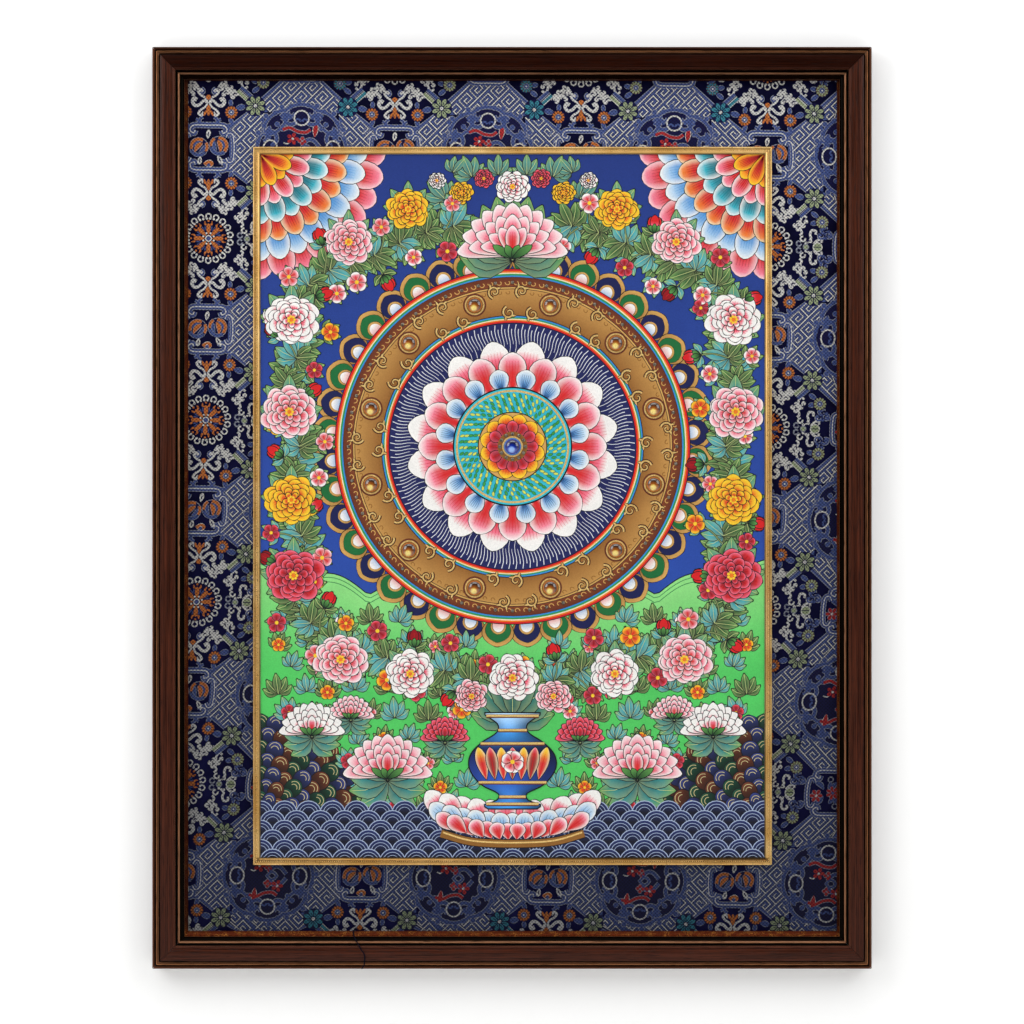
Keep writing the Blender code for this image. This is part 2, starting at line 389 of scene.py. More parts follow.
def flat_cloth(name, node, finish, cells):
    """A thin closed sheet in the place of a flat solid, its rim rounded a little."""
    low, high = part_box(node)
    shape = bmesh.new()
    bmesh.ops.create_grid(shape, x_segments=cells[0], y_segments=cells[1], size=0.5)
    for vertex in shape.verts:
        across, up = vertex.co.x + 0.5, vertex.co.y + 0.5
        vertex.co = (low.x + across * (high.x - low.x), low.y, low.z + up * (high.z - low.z))
    shape.normal_update()
    bmesh.ops.solidify(shape, geom=shape.faces, thickness=high.y - low.y)
    bmesh.ops.translate(
        shape, verts=shape.verts, vec=(0.0, low.y - min(vertex.co.y for vertex in shape.verts), 0.0)
    )
    shape.normal_update()
    rim = [edge for edge in shape.edges if edge.is_manifold and edge.calc_face_angle(0.0) > 1.0]
    bmesh.ops.bevel(
        shape, geom=rim, offset=0.0004, offset_type="OFFSET", affect="EDGES", segments=2, profile=0.5,
        material=-1
    )
    bmesh.ops.recalc_face_normals(shape, faces=shape.faces)
    cloth = add_piece(name, smooth_mesh(name, shape, 40), finish)
    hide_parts(node)
    return cloth


brocade = flat_cloth("brocade_ground", "brocade_panel", navy_satin(), (30, 40))


# Edging
# Narrow slips covered in a rust brocade with gold thread and mitred under the rail's lip. They hold the big
# sheet down at its edge.
# Painted light and shade on the rust cloth, from the frame's foot to its top: how much of its colour it keeps.
# The lower slip is painted lit and the top slip painted in the rail's shadow.
EDGING_PAINTED_LIGHT = (
    (0.006, (0.62, 0.56, 0.5, 1)),
    (0.016, (0.14, 0.11, 0.1, 1)),
    (0.6, (0.34, 0.28, 0.23, 1)),
    (0.985, (0.22, 0.18, 0.16, 1)),
    (0.992, (0.07, 0.06, 0.07, 1)),
)


def rust_brocade():
    made, tree, shader = new_material("Rust brocade", Roughness=0.6, Specular_IOR_Level=0.06)
    place = object_place(tree)
    cells = add_node(tree, "TexVoronoi", {"Vector": place, "Scale": 300.0}, feature="F1")
    rings = arithmetic(tree, "SINE", times(tree, cells.outputs["Distance"], 16.0))
    patchy = spread(tree, noise(tree, place, 130.0, 2.0), 0.45, 0.6)
    curls = times(tree, spread(tree, rings, 0.3, 0.9), patchy)
    rough_thread = noise(tree, place, 1400.0, 2.0)
    cloth = colour_ramp(tree, rough_thread, [(0.35, linear(56, 18, 6)), (0.7, linear(150, 68, 28))])
    body = mixed(tree, "MIX", curls, cloth, linear(196, 132, 62))
    rise = axes_of(tree, place)[2]
    share = spread(tree, rise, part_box("edging_bottom")[0].z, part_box("edging_top")[1].z)
    # Painted light and shade by height: a lit lower slip and a shaded top slip
    body = toned(tree, 1.0, body, share, EDGING_PAINTED_LIGHT)
    feed(tree, shader, Base_Color=body, Normal=bumped(tree, curls, 0.00012))
    return made


dressed_mouldings("edging", "edging_slip", rust_brocade(), 0.0)


# Gilt fillet
# A slim moulding round the painting, in satin gilt over a warm base: a bead, a groove, a channel with a run
# of small gilt pearls between two ridges, and a slope down to the cloth, whose edge it hides.
FILLET_FACE = 0.0069
# Painted light and shade across the gilt: how bright it is painted from each distance in from the fillet's
# outer edge, in millimetres. The groove and the channel are painted darker, the ridges lit and the inner edge
# in shade.
FILLET_TONES = (
    (0.0, 1.0), (1.32, 0.74), (2.3, 1.0), (2.72, 0.72), (4.03, 0.95), (4.6, 0.72), (5.6, 0.42), (6.3, 0.16)
)
# Painted shade and light by length: the lower length is painted in shade on its inner part, and the upper and
# right lengths are painted brighter on their outer part.
SHADED_FROM = 2.7
LIT_TO = 4.03


def satin_gilt(name, roughness, shadowed=False):
    made, tree, shader = new_material(name, Metallic=0.9)
    place = object_place(tree)
    brushed = noise(tree, place, 700.0, 3.0, 0.6)
    cloudy = noise(tree, place, 40.0, 2.0)
    body = colour_ramp(tree, cloudy, [(0.3, linear(222, 180, 106)), (0.7, linear(250, 218, 152))])
    worn = spread(tree, brushed, 0.62, 0.74)
    body = mixed(tree, "MIX", times(tree, worn, 0.2), body, linear(170, 120, 60))
    # Painted light and shade: tones across the profile, the upper and right lengths painted brighter, the
    # lower in shade
    if shadowed:
        run = add_node(tree, "UVMap", uv_map="Moulding").outputs["UV"]
        share = arithmetic(tree, "DIVIDE", axes_of(tree, run)[1], FILLET_FACE)
        stops = [
            (start / 1000 / FILLET_FACE, (tone, tone * 0.9, tone * 0.8, 1)) for start, tone in FILLET_TONES
        ]
        sideways, _, rise = axes_of(tree, place)
        right = arithmetic(tree, "GREATER_THAN", sideways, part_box("fillet_right")[1].x - FILLET_FACE)
        top = arithmetic(tree, "GREATER_THAN", rise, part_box("fillet_left")[1].z - FILLET_FACE)
        outer = arithmetic(tree, "LESS_THAN", share, LIT_TO / 1000 / FILLET_FACE)
        lit_lengths = times(tree, arithmetic(tree, "MAXIMUM", right, top), outer)
        shaded = arithmetic(tree, "SUBTRACT", 1.0, times(tree, lit_lengths, 0.7))
        body = mixed(tree, "MULTIPLY", shaded, body, colour_ramp(tree, share, stops, constant=True))
        low = arithmetic(tree, "LESS_THAN", rise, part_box("fillet_left")[0].z + FILLET_FACE)
        inner = arithmetic(tree, "GREATER_THAN", share, SHADED_FROM / 1000 / FILLET_FACE)
        body = mixed(tree, "MULTIPLY", times(tree, low, inner), body, (0.45, 0.4, 0.34, 1))
    rough = spread(tree, brushed, 0.3, 0.7, roughness - 0.06, roughness + 0.1)
    feed(tree, shader, Base_Color=body, Roughness=rough, Normal=bumped(tree, brushed, 0.00004))
    return made


def repeated(name, master, places):
    """Joins copies of one small bmesh shape, one at each place, into one mesh, and frees the shape."""
    master.verts.index_update()
    corners = np.array([vertex.co[:] for vertex in master.verts])
    faces = [[vertex.index for vertex in face.verts] for face in master.faces]
    lengths = np.array([len(face) for face in faces])
    loops = np.concatenate(faces)
    master.free()
    points = (corners[None] + np.asarray(places, float)[:, None]).reshape(-1, 3)
    steps = np.arange(len(places))[:, None] * len(corners)
    return joined_mesh(name, points, (loops[None] + steps).ravel(), np.tile(lengths, len(places)))


def joined_mesh(name, points, loops, lengths):
    """A mesh from whole arrays: its points, its faces' corners one after another, and each face's count."""
    data = bpy.data.meshes.new(name)
    data.vertices.add(len(points))
    data.vertices.foreach_set("co", np.ascontiguousarray(points, np.float32).ravel())
    data.loops.add(len(loops))
    data.loops.foreach_set("vertex_index", np.ascontiguousarray(loops, np.int32))
    data.polygons.add(len(lengths))
    data.polygons.foreach_set("loop_start", np.concatenate([[0], np.cumsum(lengths)[:-1]]).astype(np.int32))
    data.update(calc_edges=True)
    data.polygons.foreach_set("use_smooth", np.ones(len(lengths), bool))
    data.validate()
    return data


dressed_mouldings("fillet", "gilt_fillet", satin_gilt("Satin gilt", 0.3, shadowed=True), 0.0042)

PEARL = 0.00128
PEARL_PITCH = 0.0019
PEARL_IN = 0.00337
PEARL_FORWARD = 0.01335
fillet_low = Vector((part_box("fillet_left")[0].x, 0.0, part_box("fillet_left")[0].z))
fillet_high = Vector((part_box("fillet_right")[1].x, 0.0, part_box("fillet_right")[1].z))
pack_centre = (fillet_low + fillet_high) / 2
pearl_places = []
for low, high, other_low, other_high, upright in (
    (fillet_low.x, fillet_high.x, fillet_low.z, fillet_high.z, False),
    (fillet_low.z, fillet_high.z, fillet_low.x, fillet_high.x, True),
):
    pearl_count = round((high - low - 2 * PEARL_IN) / PEARL_PITCH)
    for along in np.linspace(low + PEARL_IN, high - PEARL_IN, pearl_count + 1)[: -1 if upright else None]:
        for aside in (other_low + PEARL_IN, other_high - PEARL_IN):
            if upright and along == low + PEARL_IN:
                continue
            pearl_places.append((aside, -PEARL_FORWARD, along) if upright else (along, -PEARL_FORWARD, aside))
pearl = bmesh.new()
bmesh.ops.create_uvsphere(pearl, u_segments=6, v_segments=4, radius=PEARL / 2)
add_piece(
    "gilt_pearls", repeated("gilt_pearls", pearl, pearl_places), satin_gilt("Bright gilt", 0.24)
)


# Brocade figure
# Silk wefts in silver, blues, sage, rust and red, floated over the navy ground: roundels, cartouches and ruyi
# medallions in a half-drop repeat, with a key fret between them. The weaver's chart has steps of just under a
# millimetre, and the cloth lies a little askew on the board.
STEP = 0.974
REPEAT_ACROSS = 187.0
REPEAT_DOWN = 182.4
FIRST_CARTOUCHE = complex(-297.2, 350.4)
ROWS_FALL = 0.0145
# How far the columns have drifted to the left, in steps, at each distance below the first row of roundels
COLUMNS_DRIFT = ((0.0, 182.0, 364.0, 546.0, 610.0, 700.0), (0.0, 2.7, 11.9, 28.0, 32.5, 35.5))


def shade(*levels):
    return np.array(linear(*levels)[:3])


TIP = 0.006
SILVER, DULL_SILVER = shade(226, 226, 222), shade(150, 154, 170)
WEFT_BLUE, DEEP_NAVY = shade(74, 92, 152), shade(14, 14, 70)
RUST, SAGE, TURQUOISE, WEFT_RED = shade(208, 120, 58), shade(166, 180, 140), shade(
    60, 140, 160
), shade(186, 48, 52)


@functools.cache
def grid_faces(rows, columns):
    """The faces of a flat grid, as places in a row-by-row count of its points."""
    grid = bmesh.new()
    bmesh.ops.create_grid(grid, x_segments=columns - 1, y_segments=rows - 1, size=0.5)
    rank = [
        round((vertex.co.y + 0.5) * (rows - 1)) * columns + round((vertex.co.x + 0.5) * (columns - 1))
        for vertex in grid.verts
    ]
    grid.verts.index_update()
    faces = np.array([[rank[vertex.index] for vertex in face.verts] for face in grid.faces])
    grid.free()
    return faces


class LaidWork:
    """Flat shapes laid over each other on a cloth, gathered into one mesh.

    Places are in millimetres from the painting's centre, and lifts in millimetres above the cloth. Each shape
    is a small grid: rows of places, with one colour for all or a colour for each place. What would reach past
    the cloth's part in view stops at its edge.
    """

    def __init__(self, forward, half_width, half_height):
        self.forward = forward
        self.half_width = half_width
        self.half_height = half_height
        self.shapes = []
        self.nudge = 0.0

    def lay(self, rows, tint, lift, same_layer=False):
        rows = np.asarray(rows, complex)
        across = np.clip(rows.real, -self.half_width, self.half_width)
        rows = across + 1j * np.clip(rows.imag, -self.half_height, self.half_height)
        along = np.diff(rows, axis=1)[:-1]
        aside = np.diff(rows, axis=0)[:, :-1]
        turned = np.sum((np.conj(along) * aside).imag) < 0
        tints = np.broadcast_to(tint, (*rows.shape, 3))
        if not same_layer:
            self.nudge = (self.nudge + 0.0015) % 0.0045
        lifts = np.broadcast_to(lift + self.nudge, rows.shape)
        if turned:
            rows, tints, lifts = rows[::-1], tints[::-1], lifts[::-1]
        self.shapes.append((float(np.max(lifts)), rows, tints, lifts))

    def make(self, name, finish, slot, attribute):
        """Joins the shapes, the lowest first, with a flat map over the whole cloth for baking."""
        self.shapes.sort(key=lambda shape: shape[0])
        places = np.concatenate([rows.ravel() for _, rows, _, _ in self.shapes])
        lifts = np.concatenate([lifts.ravel() for *_, lifts in self.shapes])
        tints = np.concatenate([tints.reshape(-1, 3) for _, _, tints, _ in self.shapes])
        faces, start = [], 0
        for _, rows, _, _ in self.shapes:
            faces.append(grid_faces(*rows.shape) + start)
            start += rows.size
        loops = np.concatenate(faces).ravel()
        points = np.empty((len(places), 3))
        points[:, 0] = pack_centre.x + places.real / 1000
        points[:, 1] = -self.forward - lifts / 1000
        points[:, 2] = pack_centre.z + places.imag / 1000
        data = joined_mesh(name, points, loops, np.full(len(loops) // 4, 4))
        colours = data.color_attributes.new(attribute, "FLOAT_COLOR", "POINT")
        solid_tints = np.column_stack([tints, np.ones(len(tints))])
        colours.data.foreach_set("color", solid_tints.astype(np.float32).ravel())
        flat = data.uv_layers.new(name="OFBake")
        reach = max(np.abs(places.real).max(), np.abs(places.imag).max())
        shares = np.column_stack([places.real, places.imag])[loops] / reach * 0.49 + 0.5
        flat.uv.foreach_set("vector", shares.astype(np.float32).ravel())
        return add_piece(name, data, finish)


def smooth_line(points, steps=5):
    """A curve through the points, as complex numbers."""
    points = np.asarray(points, complex)
    ends = np.concatenate([2 * points[:1] - points[1:2], points, 2 * points[-1:] - points[-2:-1]])
    before, start, end, after = ends[:-3, None], ends[1:-2, None], ends[2:-1, None], ends[3:, None]
    share = np.arange(steps) / steps
    curve = 0.5 * (
        2 * start
        + (end - before) * share
        + (2 * before - 5 * start + 4 * end - after) * share**2
        + (3 * start - before - 3 * end + after) * share**3
    )
    return np.concatenate([curve.ravel(), points[-1:]])


def offset_line(line, distance):
    """A line beside a line, on its left, with mitred corners."""
    line = np.asarray(line, complex)
    runs = np.diff(line)
    sides = 1j * runs / np.maximum(np.abs(runs), 1e-9)
    closed = abs(line[0] - line[-1]) < 1e-6
    before = np.concatenate([sides[-1:] if closed else sides[:1], sides])
    after = np.concatenate([sides, sides[:1] if closed else sides[-1:]])
    corner = before + after
    squared = np.maximum((corner * np.conj(corner)).real, 0.6)
    return line + 2 * corner / squared * distance


def ring_line(centre, radius, count=17, start=0.0, sweep=math.tau):
    return centre + radius * np.exp(1j * (start + sweep * np.linspace(0, 1, count)))


def flipped(points, side=1, up=1):
    """Places from (across, up) pairs, turned to one side and up or down."""
    return np.array([complex(x * side, y * up) for x, y in points])


def mirrored(line):
    return -np.conj(np.asarray(line, complex))


def both_ways(half):
    """A symmetric line from its right half, which starts on the middle line."""
    half = np.asarray(half, complex)
    return np.concatenate([mirrored(half)[::-1][:-1], half])


# Half the breadth and height of what the edging leaves in view, and of what the fillet hides, with some spare
FRAME_OPENING = (317, 417)
FILLET_HIDES = (250, 347)


class Brocade(LaidWork):
    """Silk wefts on the satin, drawn in steps of the chart from the first cartouche."""

    def shows(self, places):
        """Whether any of the places lies between the edging and the fillet."""
        across, up = np.abs(places.real), np.abs(places.imag)
        in_frame = (across < FRAME_OPENING[0]) & (up < FRAME_OPENING[1])
        return np.any(in_frame & ((across > FILLET_HIDES[0]) | (up > FILLET_HIDES[1])))

    def askew(self, rows):
        """Places of the chart on the cloth as it lies: its rows fall and its columns drift."""
        rows = np.asarray(rows, complex)
        drift = np.interp(-rows.imag - REPEAT_DOWN / 2, *COLUMNS_DRIFT)
        return FIRST_CARTOUCHE + (rows - drift - 1j * ROWS_FALL * rows.real) * STEP

    def weave(self, rows, tint, lift):
        """Lays a shape where the cloth shows, tipped so that shapes of one lift don't lie in one plane."""
        rows = self.askew(rows)
        if self.shows(rows):
            self.lay(rows, tint, lift + np.linspace(0, TIP, rows.shape[-1]))

    def near(self, at, reach):
        """Whether a square of cloth round a place has any part that shows."""
        spread_out = np.linspace(-reach, reach, 9)
        return self.shows(self.askew(at + spread_out[:, None] + 1j * spread_out))

    def line(self, line, width, tint, lift):
        widths = np.broadcast_to(np.asarray(width, float) / 2, np.shape(line))
        self.weave([offset_line(line, -widths), offset_line(line, widths)], tint, lift)

    def corded(self, line, width, lift=0.08, heart=None):
        """A blue line with a dull silver rim, and a silver heart where one is given."""
        self.line(line, width + 1.5, DULL_SILVER, lift)
        self.line(line, width, WEFT_BLUE, lift + 0.03)
        if heart:
            self.line(line, heart, SILVER, lift + 0.06)

    def leaf(self, foot, tip, width, tint, lift=0.12, rim=SILVER, bend=0.0):
        """A leaf or petal from foot to tip, widest past its middle."""
        share = (1 - np.cos(math.pi * np.linspace(0, 1, 9))) / 2
        way = tip - foot
        middle = foot + way * share + 1j * way * bend * np.sin(math.pi * share)
        side = 1j * way / abs(way) * width / 2 * np.sin(math.pi * share**1.3) ** 0.55
        if rim is not None:
            grown = 1 + 1.3 / width
            self.weave([middle - side * grown, middle + side * grown], rim, lift)
        self.weave([middle - side, middle + side], tint, lift + 0.03)

    def disc(self, centre, radius, tint, lift, squash=1.0):
        angle = np.linspace(0, math.pi, 9)
        high = centre + radius * (np.cos(angle) + 1j * squash * np.sin(angle))
        low = centre + radius * (np.cos(angle) - 1j * squash * np.sin(angle))
        self.weave([low, high], tint, lift)

    def curl(self, foot, radius, turn, width, lift, rim, way):
        """A blue scroll that winds in from its foot."""
        share = np.linspace(0, 1, 12)
        angle = turn + way * 1.45 * math.pi * share
        line = foot + radius * (1 - 0.62 * share) * np.exp(1j * angle) - radius * np.exp(1j * turn)
        if rim is not None:
            self.line(line, width + 1.2, rim, lift)
        self.line(line, width * (1 - 0.35 * share), WEFT_BLUE, lift + 0.03)

    def round_flower(self, centre, radius, petals, tint, heart, lift, rim=DULL_SILVER, foot=0.16):
        """A flower of leaf-shaped petals, whose feet leave a disc of foot times its radius free."""
        for number in range(petals):
            way = np.exp(1j * (math.tau * number / petals))
            width = radius * (1 + foot) * 2.1 / petals * 1.25
            self.leaf(centre + way * radius * foot, centre + way * radius, width, tint, lift, rim)
        self.disc(centre, radius * 0.2, heart, lift + 0.07)


def roundel(silk, at):
    """An eight-fold rust flower in a ring of silver links."""
    for number in range(8):
        way = np.exp(1j * math.tau * number / 8)
        between = np.exp(1j * math.tau * (number + 0.5) / 8)
        for fork in (-1, 1):
            silk.leaf(at + way * 13.2, at + way * (17.4 + 3.7j * fork), 2.1, RUST, 0.2, None, 0.3 * fork)
            silk.leaf(
                at + way * (7.6 + 2.6j * fork), at + way * (13 + 3.6j * fork), 1.4, WEFT_BLUE, 0.13, None
            )
        silk.leaf(at + way * 3.6, at + way * 15.0, 4.4, RUST, 0.18, DEEP_NAVY)
        silk.disc(at + way * 17.6, 1.1, RUST, 0.2)
        silk.disc(at + between * 5.6, 1.0, SILVER, 0.22)
    silk.disc(at, 3.4, SILVER, 0.23)
    silk.disc(at, 2.3, WEFT_BLUE, 0.26)
    for number in range(18):
        bearing = math.tau * (number + 0.5) / 18
        link = at + 22.3 * np.exp(1j * bearing)
        opening = bearing + math.pi
        silk.line(ring_line(link, 2.6, 10, opening + 0.7, math.tau - 1.4), 1.4, SILVER, 0.1)
        for end in (0.62, -0.62):
            silk.disc(link + 2.8 * np.exp(1j * (opening + end)), 1.2, SILVER, 0.11)


def knobs(silk, places, tint=SILVER, lift=0.1):
    """A lobed cloud of small discs in a dark outline, with dark eyes, from (place, radius) pairs."""
    for place, radius in places:
        silk.disc(place, radius + 0.8, DEEP_NAVY, lift - 0.03)
        silk.disc(place, radius, tint, lift)
    for (place, _), (following, _) in zip(places[::2], places[1::2]):
        silk.leaf(place, following, 1.5, DEEP_NAVY, lift + 0.02, None, 0.3)


def between_roundels(silk, at, side, tint):
    """The knot, sprays and clouds beside a roundel, on one side of it."""
    knot = at + 42.2 * side
    for up in (1, -1):
        def placed(*points, around=at):
            return around + flipped(points, side, up)

        def clustered(*lobes, around=at):
            return [(around + complex(x * side, y * up), radius) for x, y, radius in lobes]

        for line, width in (
            (placed((10.4, 31), (13, 28), (17.6, 28.6), (20.4, 33), (24.6, 35.6), (28.6, 38.4)), 3.0),
            (placed((15.4, 36.4), (18.4, 33.8), (22, 36), (23.2, 40)), 2.6),
            (placed((33.8, 21), (33.4, 27), (36, 31.4), (39.4, 29.4)), 2.2),
            (placed((33, 18), (34.6, 14.2), (32.4, 11.6)), 2.2),
            (
                placed(
                    (-1.5, 4.5), (1.6, 8.4), (0.6, 12.6), (2.4, 16.8), (6.4, 16), (6.2, 12.6), around=knot
                ),
                2.3
            ),
            (placed((4, 3), (7.6, 6.6), (11.6, 7.6), (12.4, 4.4), around=knot), 2.2),
        ):
            line = smooth_line(line, 4)
            silk.line(line, width + 1.3, DEEP_NAVY, 0.08)
            silk.line(line, width, SILVER, 0.1)
        knobs(silk, clustered(
            (9.6, 33.6, 2.4), (13.0, 31.6, 2.6), (13.8, 27.2, 2.3), (17, 25.6, 2.0), (18.6, 30.2, 2.6),
            (22.8, 30.6, 2.2), (15.4, 37.6, 2.2), (19.6, 35.4, 2.3), (24.4, 40, 2.3), (29.2, 36.4, 2.4),
            (25.8, 34.6, 2.2),
        ))
        knobs(silk, clustered(
            (27.8, 21.4, 2.4), (31.2, 24.6, 2.2), (38.6, 25.4, 2.2), (36, 21.6, 2.5), (30.6, 17.8, 2.2),
            (33.2, 20.6, 2.6),
        ))
        silk.line(ring_line(knot + complex(-10.6 * side, 3.4 * up), 2.5, 10, 0.6, 5.6), 1.5, DULL_SILVER, 0.1)
        silk.line(ring_line(knot + complex(-6.6 * side, 8.2 * up), 2.4, 10, 1.4, 5.2), 1.7, SILVER, 0.1)
        knobs(silk, clustered((-3.4, 4, 1.5), (1.4, 5.6, 1.5), (9.6, 10, 1.5), around=knot))
    silk.disc(knot - 3.6 * side, 3.2, DULL_SILVER, 0.12)
    silk.disc(knot - 3.6 * side, 2.2, tint, 0.14)
    silk.disc(knot + 8.2 * side, 5.0, SILVER, 0.12)
    silk.disc(knot + 8.2 * side, 4.0, tint, 0.14)
    silk.line([knot + 4.6 * side, knot + 11.6 * side], 0.9, DEEP_NAVY, 0.16)


def scroll_plant(silk, at, up):
    """The mirrored silver scrolls with a rust bell, between a cartouche and a roundel."""
    for side in (1, -1):
        for points, width in (
            (((0.6, 0), (4.5, 2.6), (9, -1.5), (13.4, -2.4), (16, 1.2), (14.4, 4.6), (11.6, 3.2)), 3.9),
            (((1, 1.5), (3.5, 5.6), (7.4, 8), (10, 11.4), (7.6, 13.6), (5.6, 11.6)), 2.8),
            (((1, 0), (3.6, -4), (7.6, -6.6), (10, -10.2), (7, -12.2), (4.8, -9)), 2.8),
        ):
            line = at + smooth_line(flipped(points, side, up))
            widths = np.linspace(width * 0.6, width, len(line))
            silk.line(line, widths + 1.4, DEEP_NAVY, 0.09)
            silk.line(line, widths, SILVER, 0.12)
        silk.curl(at + complex(7 * side, 15 * up), 3.2, math.pi / 2 * up, 2.0, 0.08, DULL_SILVER, side * up)
    silk.leaf(at + 3.4j * up, at + 8.6j * up, 5.2, RUST, 0.15, DEEP_NAVY)
    silk.leaf(at - 1.4j * up, at - 9.4j * up, 4.4, RUST, 0.19, DEEP_NAVY)
    for across in (-4.8, 4.8, 0):
        silk.leaf(
            at - 6.4j * up, at + complex(across, -12.8 * up), 2.6, RUST, 0.17, DEEP_NAVY, 0.02 * across * up
        )


def rosette(silk, at, tint):
    """A small flower of short petals round a blue heart."""
    silk.disc(at, 7.0, DEEP_NAVY, 0.11)
    silk.round_flower(at, 6.4, 12, tint, WEFT_BLUE, 0.12, RUST * 0.25, foot=0.42)
    silk.line(ring_line(at, 2.6, 13), 0.9, DULL_SILVER, 0.2)
    silk.disc(at, 2.4, WEFT_BLUE, 0.2)
    silk.disc(at, 0.9, SILVER, 0.22)


def blue_leaves(silk, rose, side, up, *leaves):
    """Leaves round a rosette, each from its foot, its tip and its width."""
    for foot, tip, width in leaves:
        foot, tip = rose + flipped((foot, tip), side, up)
        silk.leaf(foot, tip, width, WEFT_BLUE, 0.08, DULL_SILVER)


def barred_frame(silk, at):
    """A cusped frame of four corded bars."""
    for up in (1, -1):
        bar = both_ways([22.5j, 13 + 22.5j, 17.4 + 20.6j, 18.4 + 16.6j, 14.6 + 14.6j, 13.4 + 17.4j])
        bar = smooth_line(bar if up > 0 else np.conj(bar), 4)
        silk.corded(at + bar, 5.0, heart=1.1)
        side_bar = smooth_line([17.5 + 10.5j, 20 + 14.6j, 24 + 13.4j, 25.4 + 7j, 25.8 + 0j])
        side_bar = np.concatenate([side_bar, np.conj(side_bar)[::-1][1:]])
        silk.corded(at + (side_bar if up > 0 else mirrored(side_bar)), 4.2, heart=1.0)


def red_cartouche(silk, at):
    """The same frame round red flowers on blue leaves, with curled clouds at its sides."""
    barred_frame(silk, at)
    for side in (1, -1):
        for up in (1, -1):
            cloud = at + complex(36.0 * side, 13.6 * up)
            silk.corded(at + np.array([complex(28 * side, 10 * up), complex(33 * side, 12 * up)]), 2.0)
            for turn in range(3):
                silk.curl(cloud, 4.4, turn * 2.1 + 0.5 * up, 1.9, 0.09, DULL_SILVER, side * up)
            knobs(
                silk, [(cloud + 4.6 * np.exp(1j * bearing), 1.5) for bearing in (0.4, 1.9, 3.4, 4.9)],
                WEFT_BLUE, 0.12
            )
            leaf = at + complex(9 * side, 3 * up)
            silk.leaf(
                leaf, leaf + complex(9 * side, 7.4 * up), 4.4, WEFT_BLUE, 0.1, DULL_SILVER, 0.15 * side * up
            )
            silk.leaf(at, at + complex(3 * side, 11 * up), 4.0, WEFT_BLUE, 0.1, DULL_SILVER, 0.12)
        flower = at + complex(16.4 * side, 3.0 * side)
        silk.round_flower(flower, 6.6, 6, WEFT_RED, SILVER, 0.14, DULL_SILVER)
        silk.line(ring_line(at + complex(-3 * side, 13.4 * side), 2.6, 11), 1.3, DULL_SILVER, 0.12)
    silk.round_flower(at, 6.8, 7, WEFT_RED, WEFT_BLUE, 0.16, DULL_SILVER)


def cartouche(silk, at):
    """A barred and cusped cartouche that holds two striped fruits, with its rosettes and scrolls round it."""
    barred_frame(silk, at)
    for up in (1, -1):
        scroll_plant(silk, at + 44.5j * up, up)
        for side in (1, -1):
            for x, y, radius, turn, width, way in (
                (5.4, 30.5, 4.4, math.pi / 2, 2.2, -1),
                (12.6, 28.6, 3.6, math.pi / 2, 1.9, 1),
                (24, 21, 4.2, 0.4, 2.0, 1),
            ):
                foot = at + complex(x * side, y * up)
                silk.curl(foot, radius, turn * up, width, 0.08, DULL_SILVER, way * side * up)
            rose = at + complex(22.9 * side, 35.6 * up)
            blue_leaves(
                silk, rose, side, up, ((4, 4), (14, 6.4), 5.4), ((0, 5), (-1, 13), 3.6),
                ((-2, -4), (1, -12), 3.8)
            )
            rosette(silk, rose, RUST)
    for centre, hand, tilt in ((-9.6 + 0.4j, 1, 0.0), (10.4 + 2.0j, -1, -0.5)):
        fruit = at + centre

        def turned(*points):
            return fruit + flipped(points, hand) * np.exp(1j * tilt)

        silk.disc(fruit, 9.8, DULL_SILVER, 0.08)
        silk.disc(fruit, 9.0, DEEP_NAVY, 0.1)
        for points, hue, wide in (
            (((-8, -2), (-6.6, 4.4), (-1.6, 7.8), (4, 7)), RUST, 3.0),
            (((-8, -3.4), (-3.6, -7.4), (2, -7.8), (6, -5.4)), WEFT_BLUE, 3.0),
            (((7.4, 4.4), (8.2, 0), (6.6, -4.2)), RUST, 2.6),
            (((-5.6, 1), (-2.6, 4.4), (1.4, 4.6)), WEFT_BLUE, 2.4),
        ):
            band = smooth_line(turned(*points), 4)
            silk.line(band, wide + 0.9, DULL_SILVER, 0.11)
            silk.line(band, wide, hue, 0.13)
        foot, tip = turned((-4.4, -5.2), (3.6, 4.4))
        silk.leaf(foot, tip, 4.4, RUST, 0.15, DULL_SILVER, 0.12 * hand)
        foot, tip = turned((-0.6, -6.0), (6.0, 1.6))
        silk.leaf(foot, tip, 3.0, WEFT_BLUE, 0.15, DULL_SILVER, -0.12 * hand)
    for foot, tip in ((-1 + 9j, 0.6 + 18j), (-8 - 9j, -9.6 - 17j), (9 - 8j, 13.6 - 16j)):
        silk.leaf(at + foot, at + tip, 4.6, SILVER, 0.13, None)
        silk.line([at + foot * 0.7 + tip * 0.3, at + foot * 0.3 + tip * 0.7], 1.2, DEEP_NAVY, 0.17)
    silk.leaf(at - 5 - 16j, at + 5 - 16j, 6.4, RUST, 0.12)
    silk.leaf(at - 2 - 17.5j, at + 2 - 17.5j, 3.6, WEFT_BLUE, 0.15)


